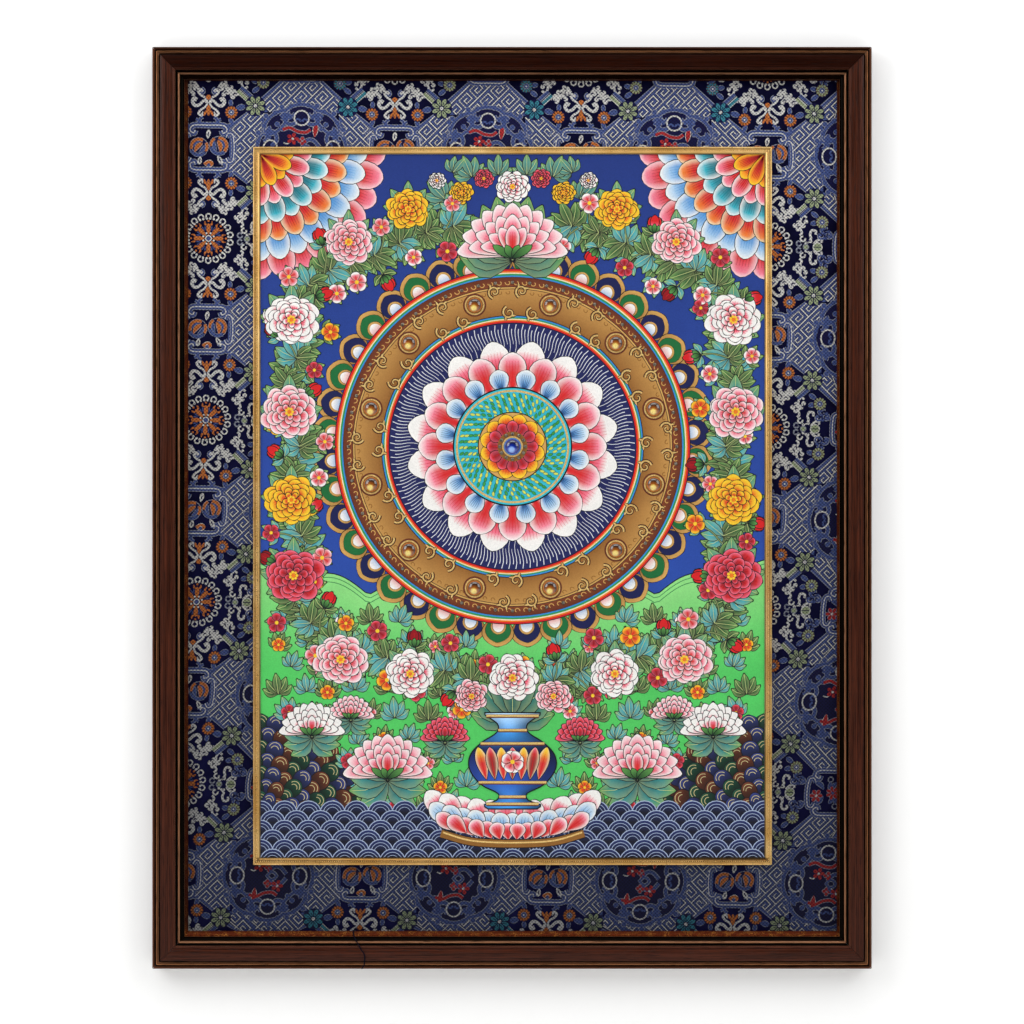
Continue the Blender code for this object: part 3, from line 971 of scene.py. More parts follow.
def ruyi_medallion(silk, at):
    """A medallion framed by blue ruyi scallops, with sprays and ribbons on the navy inside."""
    lobes = [(math.tau * (number + 0.5) / 8, 1.07 if number in (0, 3, 4, 7) else 1.0) for number in range(8)]
    rim = np.array([37.0 * grown * np.exp(1j * bearing) for bearing, grown in lobes])
    angle = math.tau * np.arange(65) / 64
    reach = 41.5 + 3.2 * np.abs(np.cos(4 * angle)) ** 0.7
    edge = at + reach * np.exp(1j * angle)
    silk.weave([np.conj(edge[:33] - at) + at, edge[:33]], DEEP_NAVY, 0.135)
    for number in range(32):
        bearing = math.tau * (number + 0.25) / 32
        knob = at + (43.6 + 1.7 * (-1) ** number + 3.0 * abs(math.cos(4 * bearing)) ** 0.7) * np.exp(
            1j * bearing
        )
        silk.disc(knob, 3.0, DULL_SILVER, 0.139)
        silk.disc(knob, 2.3, WEFT_BLUE, 0.15)
    silk.line(edge, 4.2, DULL_SILVER, 0.139)
    silk.line(edge, 2.9, WEFT_BLUE, 0.15)
    for lobe, (bearing, _) in zip(rim, lobes):
        for way in (1, -1):
            silk.curl(at + lobe * np.exp(0.2j * way), 4.2, bearing + way * 1.9, 2.1, 0.15, DULL_SILVER, way)
    for up in (1, -1):
        ring = at + 31j * up
        for side in (1, -1):
            arm = flipped(((3, -2), (9, -6.4), (15.4, -5), (17, 0.5), (12.4, 2.6), (10.6, -1.4)), side, up)
            silk.corded(ring + smooth_line(arm), 3.2, 0.16)
        silk.disc(ring, 6.8, DEEP_NAVY, 0.19)
        for side in (1, -1):
            foot = ring + complex(0.9 * side, -3.6 * up)
            silk.curl(foot, 3.1, math.pi if side > 0 else 0.0, 2.2, 0.2, None, -side * up)
        silk.line(ring_line(ring, 7.4), 1.5, SILVER, 0.25)
        for arc in (-1, 1):
            arm = flipped(((29, 3), (25, 9), (27, 15.6), (32.4, 17), (34.6, 12.6), (31, 10.6)), up, arc)
            silk.corded(at + smooth_line(arm), 3.2, 0.16)
        for side in (1, -1):
            for sweep in (-1, 1):
                head = at + complex(side, up) / math.sqrt(2) * np.exp(1j * sweep * side * up * np.array(
                    [0.02, 0.2, 0.36, 0.34, 0.2])) * np.array([29.4, 30.6, 34.6, 39, 38.4])
                silk.corded(smooth_line(head), 2.6, 0.142)
            silk.disc(at + complex(side, up) * 19.6, 2.4, DULL_SILVER, 0.142)
            silk.disc(at + complex(side, up) * 19.6, 1.7, WEFT_BLUE, 0.15)
            silk.leaf(
                at + complex(side, up) * 22, at + complex(side, up) * 26.4, 4.6, WEFT_BLUE, 0.142, DULL_SILVER
            )
        oval = at + 31.5 * up
        silk.disc(oval, 6.6, DEEP_NAVY, 0.19, 1.2)
        for side in (1, -1):
            silk.curl(
                oval + complex(-3.6 * up, 0.9 * side), 3.1, -side * math.pi / 2, 2.2, 0.2, None, side * up
            )
        hoop = ring_line(0, 7.0)
        silk.line(oval + (hoop.real + 1.2j * hoop.imag), 1.5, SILVER, 0.25)
        spray = at + complex(-9 * up, 10 * up)
        silk.round_flower(spray, 6.2, 5, WEFT_RED, SILVER, 0.15, None)
        silk.line(smooth_line([spray, spray - 5 - 5j * up, spray - 9 - 4j * up]), 1.2, SILVER, 0.14)
        ribbon = smooth_line(
            at + np.array([-19, -12, -4, 4, 9]) + 1j * up * np.array([19, 21, 17.4, 16.6, 19.6])
        )
        silk.line(ribbon, 4.2, DULL_SILVER, 0.15)
        silk.line(ribbon, 2.9, WEFT_RED, 0.17)
        silk.leaf(at + complex(13 * up, 12 * up), at + complex(14.5 * up, 25 * up), 4.8, WEFT_RED, 0.15)
        silk.corded(
            smooth_line(at + np.array([1, 6, 12, 18]) + 1j * up * np.array([4, 9.0, 8.4, 2])), 3.0, 0.14
        )
        silk.corded(
            smooth_line(at + np.array([-2, 2, 6, 9]) + 1j * up * np.array([-1, 3.4, 3.0, -1])), 1.8, 0.14
        )
        for across, rise in ((-2, 8), (0.8, 10.4), (3, 7.4), (0.6, 5.4)):
            silk.disc(at + complex(across * up, rise * up), 2.3, DULL_SILVER, 0.15)
            silk.disc(at + complex(across * up, rise * up), 1.7, WEFT_RED, 0.17)


def corner_floret(silk, at, side, up, tint):
    """An eight-petal floret where the fret's edges meet, with its double bars and a small rosette."""
    bars = np.array([complex(-17 * side, 15.5 * up), complex(-6 * side, 5.5 * up)])
    for number, hue in enumerate((tint, WEFT_BLUE)):
        aside = complex(3.4 * side, 3.8 * up) * (number - 0.2)
        silk.line(at + bars + aside, 4.4, SILVER if hue is tint else DULL_SILVER, 0.08)
        silk.line(at + bars + aside, 3.0, hue, 0.11)
    silk.disc(at, 10.6, DEEP_NAVY, 0.13)
    for number in range(8):
        way = np.exp(1j * math.tau * (number + 0.5) / 8)
        silk.leaf(at + way * 2.4, at + way * 10.0, 4.0, tint, 0.14, None)
        silk.line([at + way * 3.4, at + way * 6.0], 0.7, DEEP_NAVY, 0.18)
    silk.disc(at, 1.7, SILVER, 0.2)
    rose = at + complex(8 * side, 23.5 * up)
    blue_leaves(silk, rose, side, up, ((-3, -4), (-11, -10), 4.2), ((-3, 0), (-12, 2), 4.2))
    rosette(silk, rose, tint)


FRET_STEP = 3.75
FRET_KEY = np.array([0, 3j, 3 + 3j, 3 + 1j, 1 + 1j, 1 + 2j, 2 + 2j])


def inside(outline, place):
    """Whether a place lies inside a closed outline."""
    first, second = outline, np.roll(outline, -1)
    crosses = (first.imag > place.imag) != (second.imag > place.imag)
    rise = np.where(second.imag == first.imag, 1e-9, second.imag - first.imag)
    reach = first.real + (place.imag - first.imag) * (second.real - first.real) / rise
    return np.count_nonzero(crosses & (place.real < reach)) % 2 == 1


def fret_field(silk, origin, outline, lean):
    """Square hooks in slanting rows with a plain line between the rows, cut to an outline."""
    outline = np.asarray(outline, complex)
    turn = FRET_STEP / math.sqrt(2) * (1 + 1j * lean)
    reach = range(-7, 8)
    lines = [(row * 4j + np.array([-28.0, 28.0])) for row in reach]
    lines += [row * 4j + column * 4 + FRET_KEY for row in reach for column in reach]
    for line in lines:
        line = np.asarray(line, complex)
        for start, end in zip(line, line[1:]):
            units = round(abs(end - start))
            kept = [
                unit for unit in range(units)
                if inside(outline, (start + (end - start) * (unit + 0.5) / units) * turn)
            ]
            while kept:
                run = 1
                while run < len(kept) and kept[run] == kept[0] + run:
                    run += 1
                ends = start + (end - start) * np.array([kept[0] - 0.12, kept[0] + run + 0.12]) / units
                silk.line(origin + ends * turn, 1.15, SILVER, 0.12)
                silk.line(origin + ends * turn, 2.3, DEEP_NAVY, 0.09)
                kept = kept[run:]


# Painted sheen: the silk is painted brightest at its top, where it catches the light, and darker towards its
# foot
SILK_PAINTED_SHEEN = ((0.05, (0.29, 0.29, 0.3, 1)), (0.55, (0.6, 0.59, 0.57, 1)), (0.8, (0.83, 0.82, 0.8, 1)))


def silk_figure():
    made, tree, shader = new_material("Silk figure", Roughness=0.5, Specular_IOR_Level=0.1)
    place = object_place(tree)
    thread = add_node(tree, "Attribute", attribute_name="Thread").outputs["Color"]
    weave = use_group(tree, weave_group, {"Place": place, "Pitch": 0.0009})
    floats = use_group(tree, weave_group, {"Place": place, "Pitch": 0.0034})
    thread = toned(tree, 0.6, thread, floats["Height"], [(0.25, (0.1, 0.1, 0.16, 1)), (0.6, grey(1.2))])
    uneven = noise(tree, scaled(tree, place, (300.0, 1.0, 1500.0)), 1.0, 2.0)
    body = toned(tree, 0.7, thread, uneven, [(0.3, (0.4, 0.4, 0.45, 1)), (0.62, grey(1.0))])
    rise = axes_of(tree, place)[2]
    share = spread(tree, rise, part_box("brocade_panel")[0].z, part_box("brocade_panel")[1].z)
    # Painted sheen, fading from the top to the foot
    body = toned(tree, 1.0, body, share, SILK_PAINTED_SHEEN)
    feed(tree, shader, Base_Color=body, Normal=bumped(tree, weave["Height"], 0.00014))
    return made


BROCADE_HALF_WIDTH, BROCADE_HALF_HEIGHT = 323, 421
silk = Brocade(-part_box("brocade_panel")[0].y, BROCADE_HALF_WIDTH, BROCADE_HALF_HEIGHT)
for column in range(4):
    for row in range(-1, 6):
        at = complex(REPEAT_ACROSS * column, -REPEAT_DOWN * row)
        if silk.near(at, 60):
            cartouche(silk, at)
        if silk.near(at + 1j * REPEAT_DOWN / 2, 30):
            roundel(silk, at + 1j * REPEAT_DOWN / 2)
        if silk.near(at + REPEAT_ACROSS / 2, 60):
            ruyi_medallion(silk, at + REPEAT_ACROSS / 2)
        if silk.near(at + complex(REPEAT_ACROSS, REPEAT_DOWN) / 2, 45):
            red_cartouche(silk, at + complex(REPEAT_ACROSS, REPEAT_DOWN) / 2)
        for side, hue in ((1, SAGE), (-1, TURQUOISE)):
            between_roundels(silk, at + 1j * REPEAT_DOWN / 2, side, hue)
            for up in (1, -1):
                floret = at + complex(47 * side, 42.6 * up)
                corner_floret(silk, floret, side, up, hue)
                edge = at + np.array([complex(19.5 * side, 19.5 * up), complex(41.5 * side, 36.5 * up)])
                silk.corded(edge, 2.4)
                rise = floret + np.array([complex(6 * side, 6 * up), complex(27 * side, 25 * up)])
                silk.corded(rise, 2.4)
            beside = [(21, 19.5), (40, 35), (56, 35), (52, 18), (50, 0)]
            field = [flipped(beside, side), flipped(beside[-2::-1], side, -1), [30 * side]]
            top = np.array([21, 30, 40, 56]) * side + 1j * np.array([19.5, 27.2, 35, 35])
            silk.weave([at + top, at + np.conj(top)], WEFT_BLUE, 0.04)
            if silk.near(at + 40 * side, 45):
                fret_field(silk, at, np.concatenate(field), side)
        for up in (1, -1):
            over = at + REPEAT_ACROSS / 2
            cap = flipped(((-42, 44), (-20, 66), (20, 66), (42, 44), (32, 35), (0, 44), (-32, 35)), 1, up)
            top = np.array([-42, -20, 20, 42]) + 1j * up * np.array([44, 66, 66, 44])
            foot = np.array([-40, -20, 20, 40]) + 1j * up * np.array([36, 38, 38, 36])
            silk.weave([over + foot, over + top], WEFT_BLUE, 0.04)
            if silk.near(over + 55j * up, 48):
                fret_field(silk, over, cap, up)
silk.make("silk_figure", silk_figure(), "brocade", "Thread")


# Painted cotton
# The sheet itself: cotton primed with chalk, its weave just showing through the paint. Its edges lie under
# the fillet.
def primed_cotton():
    made, tree, shader = new_material("Primed cotton", Roughness=0.7)
    place = object_place(tree)
    weave = use_group(tree, weave_group, {"Place": place, "Pitch": 0.0009})
    cloudy = noise(tree, place, 90.0, 3.0)
    body = colour_ramp(tree, cloudy, [(0.3, linear(212, 204, 188)), (0.7, linear(232, 226, 212))])
    feed(tree, shader, Base_Color=body, Normal=bumped(tree, weave["Height"], 0.00006))
    return made


canvas = flat_cloth("cotton_sheet", "painted_canvas", primed_cotton(), (24, 34))


# Painting
# Ground mineral colours in a matt size, drawn from the back to the front: a field of blue over a green
# meadow, a jewelled wheel, and flowers that climb from a vase. Each form is shaded and outlined in ink. The
# layout is a plain design of its own.
HALF_WIDTH, HALF_HEIGHT = 246.2, 343.5
WHEEL = 58j
WHEEL_RADIUS = 174
DOME_RING = 143
STUD_RING = 160.5
HUB_STUDS = 12.4
WAVES_HEIGHT = 43
INK = shade(14, 14, 22)
WHITE, CREAM = shade(250, 248, 244), shade(240, 228, 190)
BLUE_TOP, BLUE_LOW = shade(30, 54, 128), shade(40, 76, 168)
PALE_BLUE, SKY = shade(176, 212, 240), shade(60, 140, 210)
MEADOW, MEADOW_LIGHT = shade(84, 206, 100), shade(150, 226, 136)
LEAF_DARK, LEAF, LEAF_LIGHT = shade(4, 40, 26), shade(14, 88, 44), shade(96, 160, 80)
LEAF_RIM, STEM = shade(190, 200, 132), shade(128, 146, 92)
TEAL, TURQUOISE_PAINT = shade(18, 108, 122), shade(52, 190, 210)
RED, PINK, PALE_PINK = shade(218, 30, 34), shade(246, 120, 146), shade(255, 218, 222)
CRIMSON, ORANGE, YELLOW = shade(150, 12, 24), shade(240, 124, 30), shade(252, 206, 50)
OCHRE, OCHRE_DARK, BROWN = shade(214, 166, 92), shade(146, 98, 42), shade(104, 48, 28)
NAVY, WAVE_TOP, WAVE_LINE = shade(22, 28, 80), shade(38, 50, 104), shade(166, 182, 212)
GREEN_BAND, SCALE_LINE, DEEP_BROWN = shade(40, 150, 80), shade(206, 192, 140), shade(72, 32, 16)

ground, foliage, blossom, gold = (
    LaidWork(-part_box("painted_canvas")[0].y, HALF_WIDTH, HALF_HEIGHT) for _ in range(4)
)


def blend(stops, share):
    """Colours along a run of shares, through (share, colour) stops."""
    places = [place for place, _ in stops]
    return np.stack([np.interp(share, places, [tint[band] for _, tint in stops]) for band in range(3)], -1)


def brush(line, width, tint, lift, on=ground, same_layer=False):
    line = np.asarray(line, complex)
    widths = np.broadcast_to(np.asarray(width, float) / 2, line.shape)
    on.lay([offset_line(line, -widths), offset_line(line, widths)], tint, lift, same_layer)


def spot(centre, radius, tint, lift, on=ground, sides=7):
    angle = np.linspace(0, math.pi, sides)
    on.lay([centre + radius * np.exp(-1j * angle), centre + radius * np.exp(1j * angle)], tint, lift)


def petal(foot, tip, width, stops, lift, on=blossom, belly=1.3, blunt=0.62, bend=0.0, rim=None, veins=0,
          line=0.75, vein_tint=RED):
    """A shaded petal or leaf over its ink outline. Its colour stops run from foot to tip."""
    fine = abs(tip - foot) > 15 and on is not foliage
    share = (1 - np.cos(math.pi * np.linspace(0, 1, 11 if fine else 8))) / 2
    way = (tip - foot) / abs(tip - foot)
    spine = foot + (tip - foot) * (share + 1j * bend * np.sin(math.pi * share))
    half = width / 2 * np.sin(math.pi * share**belly) ** blunt
    half[0] = half[-1] = width * 0.02
    inked = spine + way * line * np.concatenate([[-0.6], np.zeros(len(share) - 2), [1.0]])
    on.lay([inked - 1j * way * (half + line), inked + 1j * way * (half + line)], INK, lift)
    aside = np.linspace(-1, 1, 5 if fine else 3)
    tints = np.broadcast_to(blend(stops, share), (len(aside), len(share), 3)).copy()
    if rim is not None:
        edge = (np.abs(aside) ** 3)[:, None, None] * (0.8 if fine else 0.36)
        tints = tints * (1 - edge) + rim * edge
    on.lay(spine + 1j * way * half * aside[:, None], tints, lift + 0.003, True)
    for number in range(veins if fine else min(veins, 1)):
        aim = (number - (veins - 1) / 2) / max(veins, 1) * 1.3 if fine else 0.0
        drawn = (spine + 1j * way * half * aim * share**0.5)[2:-3]
        brush(drawn, np.linspace(0.7, 0.2, len(drawn)), vein_tint, lift + 0.005, on, True)
    return spine


def green_leaf(foot, tip, lift, width, bend, cool):
    """A dark leaf with a pale edge and midrib, tinted toward teal by cool."""
    dark = LEAF_DARK * (1 - cool) + TEAL * cool
    stops = [(0.0, dark), (0.6, LEAF * (1 - cool) + TURQUOISE_PAINT * 0.8 * cool), (1.0, LEAF_LIGHT)]
    spine = petal(foot, tip, width, stops, lift, foliage, belly=1.0, blunt=0.8, bend=bend, rim=LEAF_RIM)
    brush(spine[:-1:2], 0.6, LEAF_RIM, lift + 0.005, foliage, True)


def fanned(count):
    """Places in a fan, from -1 to 1, the outermost first."""
    middle = (count - 1) / 2
    return sorted(((number - middle) / middle for number in range(count)), key=lambda place: -abs(place))


def leaf_spray(at, way, size, lift, count=5, cool=0.0, opening=1.15):
    """Leaves fanned about a direction, the middle one on top."""
    for layer, fan in enumerate(fanned(count)):
        tip = at + way * (size * (1 - 0.22 * abs(fan))) * np.exp(1j * fan * opening)
        green_leaf(at, tip, lift + 0.009 * layer, size * 0.4, 0.12 * fan, cool)


FLOWER_HUES = {
    "pink": ((0.0, RED), (0.6, RED), (0.78, PINK), (0.92, PALE_PINK), (1.0, WHITE)),
    "red": ((0.0, CRIMSON), (0.6, CRIMSON), (0.84, RED), (1.0, PINK)),
    "white": ((0.0, RED), (0.45, RED), (0.66, PINK), (0.8, WHITE), (1.0, WHITE)),
    "yellow": ((0.0, RED), (0.55, RED), (0.72, ORANGE), (0.86, YELLOW), (1.0, YELLOW)),
    "blue": ((0.0, NAVY), (0.4, SKY), (0.75, PALE_BLUE), (1.0, WHITE)),
}


def ring_order(number, count):
    """The layer of one petal in a ring, so that no two neighbours share theirs."""
    return 2 if count % 2 and number == count - 1 else number % 2


def peony(at, radius, hue, lift, turn=0.0, squash=0.92):
    """A full open flower: rings of cupped petals, the outer ones first, round a crimson heart."""
    stops = FLOWER_HUES[hue]
    for order, (reach, count) in enumerate(((1.0, 10), (0.83, 9), (0.65, 8), (0.47, 7), (0.31, 5))):
        for number in range(count):
            bearing = turn + math.tau * (number + 0.5 * (order % 2)) / count + chance.normal(0, 0.06)
            way = complex(math.cos(bearing), math.sin(bearing) * squash)
            long = radius * reach * chance.uniform(0.9, 1.06)
            petal(
                at + way * long * 0.12, at + way * long, radius * reach * 0.6, stops,
                lift + 0.032 * order + 0.01 * ring_order(number, count),
                belly=1.5, blunt=0.5, bend=chance.normal(0, 0.04), rim=stops[-1][1],
                veins=3 if order < 3 else 1,
                vein_tint=stops[1][1],
            )
    for number in range(7):
        spot(
            at + radius * 0.11 * np.exp(1j * math.tau * number / 7), radius * 0.05, YELLOW, lift + 0.16,
            blossom, 4
        )
    spot(at, radius * 0.07, ORANGE, lift + 0.165, blossom, 5)


def lotus(at, width, hue, lift, up=1j, rows=3):
    """A lotus seen from the side, its petals fanned about the direction up."""
    stops = FLOWER_HUES[hue]
    for row in range(rows):
        count = 11 - 2 * row
        reach = width / 2 * (1.0 - 0.2 * row)
        for fan in fanned(count):
            way = up * np.exp(-1j * fan * (1.5 - 0.12 * row))
            lengthened = reach * (1.0 + 0.14 * abs(fan) ** 2)
            foot = at - up * reach * 0.02 * row + up * -1j * -fan * reach * 0.1
            petal(
                foot, foot + way * lengthened, reach * 0.44, stops, lift,
                belly=1.35, blunt=0.6, bend=0.13 * fan, rim=stops[-1][1], veins=3, vein_tint=stops[1][1],
            )
            lift += 0.0095
    for fan in (-0.6, -0.2, 0.2, 0.6):
        petal(at - up * width * 0.02, at + up * width * 0.1 + up * -1j * fan * width * 0.3, width * 0.07,
              [(0, LEAF_DARK), (1, LEAF_LIGHT)], lift)
        lift += 0.0095


def small_flower(at, radius, hue, lift, petals=5, turn=0.3):
    stops = FLOWER_HUES[hue]
    for number in range(petals):
        way = np.exp(1j * (turn + math.tau * number / petals))
        petal(
            at + way * radius * 0.1, at + way * radius, radius * 0.9, stops,
            lift + 0.01 * ring_order(number, petals),
            belly=1.6, blunt=0.5, rim=stops[-1][1], line=0.6, veins=1, vein_tint=stops[1][1],
        )
    spot(at, radius * 0.2, YELLOW, lift + 0.03, blossom, 5)


def bud(foot, tip, hue, lift):
    """A closed flower between its sepals."""
    way = tip - foot
    stops = FLOWER_HUES[hue][::-1]
    stops = [(1 - share, tint) for share, tint in stops]
    for lean in (-0.35, 0.35, 0.0):
        petal(
            foot, foot + way * np.exp(1j * lean * 0.8) * (0.9 if lean else 1.0), abs(way) * 0.52, stops, lift,
            veins=1
        )
        lift += 0.0095
    for lean in (-0.7, 0.7, 0.0):
        petal(foot - way * 0.08, foot + way * 0.45 * np.exp(1j * lean), abs(way) * 0.26,
              [(0, LEAF_DARK), (1, LEAF_LIGHT)], lift)
        lift += 0.0095


def ring_band(centre, inner, outer, tint, lift, count=121, on=ground):
    """A flat ring. Its tint may be one colour, or two for its inner and outer edge."""
    rows = [ring_line(centre, inner, count), ring_line(centre, outer, count)]
    if isinstance(tint, tuple):
        tint = np.stack([np.broadcast_to(hue, (count, 3)) for hue in tint])
    on.lay(rows, tint, lift)


def banded(levels, lift):
    """Rings one inside the other about the wheel's middle, from the (outer radius, colour) of each."""
    for (outer, tint), (inner, _) in zip(levels, levels[1:]):
        ring_band(WHEEL, inner, outer, tint, lift)


def gold_scroll(foot, radius, turn, way, lift, width=1.7):
    """A raised gold spiral with a brown edge, that winds in from its foot, and a leaf on its back."""
    share = np.linspace(0, 1, 22)
    angle = turn + way * 2.3 * math.pi * share
    line = foot + radius * ((1 - 0.8 * share) * np.exp(1j * angle) - np.exp(1j * turn))
    brush(line, width + 2.2 - 1.2 * share, DEEP_BROWN, lift)
    brush(line, width * (1 - 0.45 * share), 1.0, lift + 0.03, gold)
    for place, lean in ((6, 0.9), (10, 0.7)):
        out = (line[place] - line[place - 1]) / abs(line[place] - line[place - 1]) * np.exp(-1j * way * lean)
        frond = line[place] + out * np.array([0.0, 2.2, 4.4])
        brush(frond, [3.4, 3.6, 1.2], DEEP_BROWN, lift)
        brush(frond, [1.4, 1.8, 0.3], 1.0, lift + 0.03, gold)


def field_and_meadow():
    share = np.linspace(0, 1, 12)
    across = np.linspace(-HALF_WIDTH, HALF_WIDTH, 97)
    horizon = -96 + 16 * np.abs(np.sin(across / HALF_WIDTH * math.pi * 3.5)) + 0.00045 * across**2
    rows = [across + 1j * (horizon + (HALF_HEIGHT - horizon) * part) for part in share]
    tints = np.repeat(blend([(0.0, BLUE_LOW), (1.0, BLUE_TOP)], share)[:, None], 97, axis=1)
    ground.lay(rows, tints, 0.01)
    rows = [across + 1j * (-HALF_HEIGHT + (horizon + HALF_HEIGHT) * part) for part in share]
    tints = np.repeat(blend([(0.0, MEADOW), (0.7, MEADOW), (1.0, MEADOW_LIGHT)], share)[:, None], 97, axis=1)
    ground.lay(rows, tints, 0.01)
    brush(across + 1j * horizon, 1.0, INK, 0.02)
    for drop in (4, 8.5):
        brush(across + 1j * (horizon - drop), 0.7, shade(36, 130, 70), 0.02)


def palmette_ring():
    """Gilt-edged palmettes round the wheel, their hearts shaded white to red or to blue."""
    for number in range(40):
        way = np.exp(1j * math.tau * (number + 0.5) / 40)
        layer = 0.025 + 0.02 * (number % 2)
        field, heart = ((NAVY, (SKY, WHITE)), (GREEN_BAND * 0.5, (RED, WHITE)))[number % 2]
        foot = WHEEL + 166 * way
        petal(foot, foot + 30 * way, 31, [(0, OCHRE_DARK), (1, OCHRE)], layer, ground, 1.15, 0.55)
        petal(
            foot, foot + 26 * way, 25, [(0, field), (1, field)], layer + 0.006, ground, 1.15, 0.55, line=0.4
        )
        petal(
            foot, foot + 18 * way, 15, [(0, OCHRE_DARK), (1, OCHRE)], layer + 0.010, ground, 1.3, 0.5,
            line=0.4
        )
        petal(
            foot, foot + 16 * way, 11.5, [(0.2, heart[0]), (0.9, heart[1])], layer + 0.014, ground, 1.3, 0.5,
            line=0.4
        )


def petal_ring(count, turn, inner, reach, width, hue, lift, belly, veins):
    """A ring of petals about the wheel's middle."""
    stops = FLOWER_HUES[hue]
    for number in range(count):
        way = np.exp(1j * math.tau * (number + turn) / count)
        petal(
            WHEEL + way * inner, WHEEL + way * reach, width, stops, lift + 0.01 * (number % 2),
            belly=belly, blunt=0.55, rim=stops[-1][1], veins=veins, vein_tint=NAVY if hue == "blue" else RED,
        )


def jewelled_wheel():
    """The wheel: a studded rim, a gold ring for the domes, rays on navy, a lotus ring and a gold hub."""
    banded(
        (
            (WHEEL_RADIUS, INK), (173.2, RED), (171.4, ORANGE), (170, CREAM), (168.8, GREEN_BAND),
            (167.2, SKY), (165.8, INK), (165.2, INK)
        ),
        0.08
    )
    ring_band(WHEEL, 155.6, 165.4, (shade(132, 66, 36), BROWN), 0.08)
    banded(((156.4, INK), (155.8, OCHRE), (154.4, INK), (153.8, INK)), 0.085)
    ring_band(WHEEL, 128, 154, (shade(150, 98, 44), shade(196, 146, 78)), 0.08)
    for number in range(120):
        bearing = math.tau * (number + 0.5) / 120
        for radius, size, way, tint in (
            (STUD_RING, 3.2, 1, OCHRE), (151.0, 2.6, 1, OCHRE_DARK), (131.0, 2.6, -1, OCHRE_DARK)
        ):
            foot = WHEEL + radius * np.exp(1j * bearing)
            angle = bearing + way * (1.5 + 4.3 * np.linspace(0, 1, 9))
            brush(foot + size * np.linspace(1, 0.3, 9) * np.exp(1j * angle), 0.8, tint, 0.09)
    for number in range(12):
        dome_way = np.exp(1j * math.tau * (number + 0.5) / 12)
        for radius, tint in ((10.4, BROWN), (7.6, OCHRE_DARK)):
            brush(ring_line(WHEEL + DOME_RING * dome_way, radius, 25), 2.0, tint, 0.1)
        brush(ring_line(WHEEL + DOME_RING * dome_way, 9.0, 25), 1.4, 1.0, 0.12, gold)
        for step in range(4):
            bearing = math.tau * (number + 1) / 12 + (step - 1.5) * 0.088
            hand = 1 if step % 2 else -1
            foot = WHEEL + (141.5 + 4.6 * hand) * np.exp(1j * bearing)
            gold_scroll(foot, 6.4, bearing + math.pi / 2 + hand * 1.2, -hand, 0.1)
    banded(
        (
            (128.4, INK), (127.6, SKY), (126.2, GREEN_BAND), (125.0, CREAM), (124.0, ORANGE), (122.8, RED),
            (121.2, INK), (120.4, INK)
        ),
        0.09
    )
    ring_band(WHEEL, 56, 121, (NAVY, shade(30, 36, 92)), 0.08)
    for number in range(216):
        bearing = math.tau * number / 216
        radii = np.linspace(*((86, 119.5) if number % 2 else (100, 115)), 7)
        sway = bearing + 0.009 * np.sin(radii / 4.2)
        brush(WHEEL + radii * np.exp(1j * sway), np.linspace(0.35, 0.8, 7), shade(226, 228, 236), 0.095)
    for order, ring in enumerate(
        ((0.5, 52, 104, 30, "white"), (0.0, 52, 92, 27, "pink"), (0.5, 52, 76, 19, "blue"))
    ):
        petal_ring(16, *ring, 0.11 + 0.032 * order, 1.5, 5)
    ring_band(WHEEL, 0, 57, (shade(40, 160, 186), TURQUOISE_PAINT), 0.25, on=blossom)
    ring_band(WHEEL, 57, 58.4, INK, 0.25, on=blossom)
    ring_band(WHEEL, 53.4, 55.4, 1.0, 0.27, on=gold)
    for turn in range(5):
        count = 34 + 5 * turn
        for number in range(count):
            bearing = math.tau * (number + 0.5 * (turn % 2)) / count
            foot = WHEEL + (31.5 + 4.1 * turn) * np.exp(1j * bearing)
            tint = shade(214, 224, 96) if (number + turn) % 2 else shade(62, 158, 72)
            tip = foot + 4.8 * np.exp(1j * (bearing + 0.5))
            petal(foot, tip, 2.4, [(0, tint), (1, tint)], 0.26 + 0.01 * (turn % 2), belly=1.0, line=0.35)
    ring_band(WHEEL, 0, 33, (shade(176, 122, 58), OCHRE), 0.29, on=blossom)
    ring_band(WHEEL, 33, 34, INK, 0.29, on=blossom)
    for order, ring in enumerate(((0.5, 13, 32, 15, "yellow"), (0.0, 11, 25, 11, "red"))):
        petal_ring(12, *ring, 0.3 + 0.03 * order, 1.4, 3)
    ring_band(WHEEL, 0, 14.6, (BROWN, OCHRE_DARK), 0.37, on=blossom)
    ring_band(WHEEL, 8.6, 10.2, 1.0, 0.38, on=gold)
    ring_band(WHEEL, 0, 8.4, (PALE_BLUE, SKY), 0.375, on=blossom)


def scallop_waves():
    """Rows of round-topped waves along the foot, white lines on navy."""
    pitch = 2 * HALF_WIDTH / 21
    across = np.array([-HALF_WIDTH, HALF_WIDTH])
    crest = -HALF_HEIGHT + WAVES_HEIGHT
    ground.lay([across - 1j * HALF_HEIGHT, across + 1j * crest], shade(14, 18, 44), 0.17)
    for row in range(6):
        lift = 0.18 + 0.012 * row
        for number in range(22 + row % 2):
            at = complex(-HALF_WIDTH + pitch * (number - 0.5 * (row % 2)), crest - 9.4 * row)
            edge = ring_line(at, pitch * 0.54, 13, 0, math.pi)
            shaded = np.stack([np.broadcast_to(hue, (13, 3)) for hue in (INK, WAVE_TOP)])
            ground.lay([edge.real + 1j * at.imag, edge], shaded, lift)
            for radius, width in ((12.3, 0.9), (9.2, 0.6), (6.2, 0.5)):
                brush(ring_line(at, radius, 11, 0, math.pi), width, WAVE_LINE, lift + 0.004)


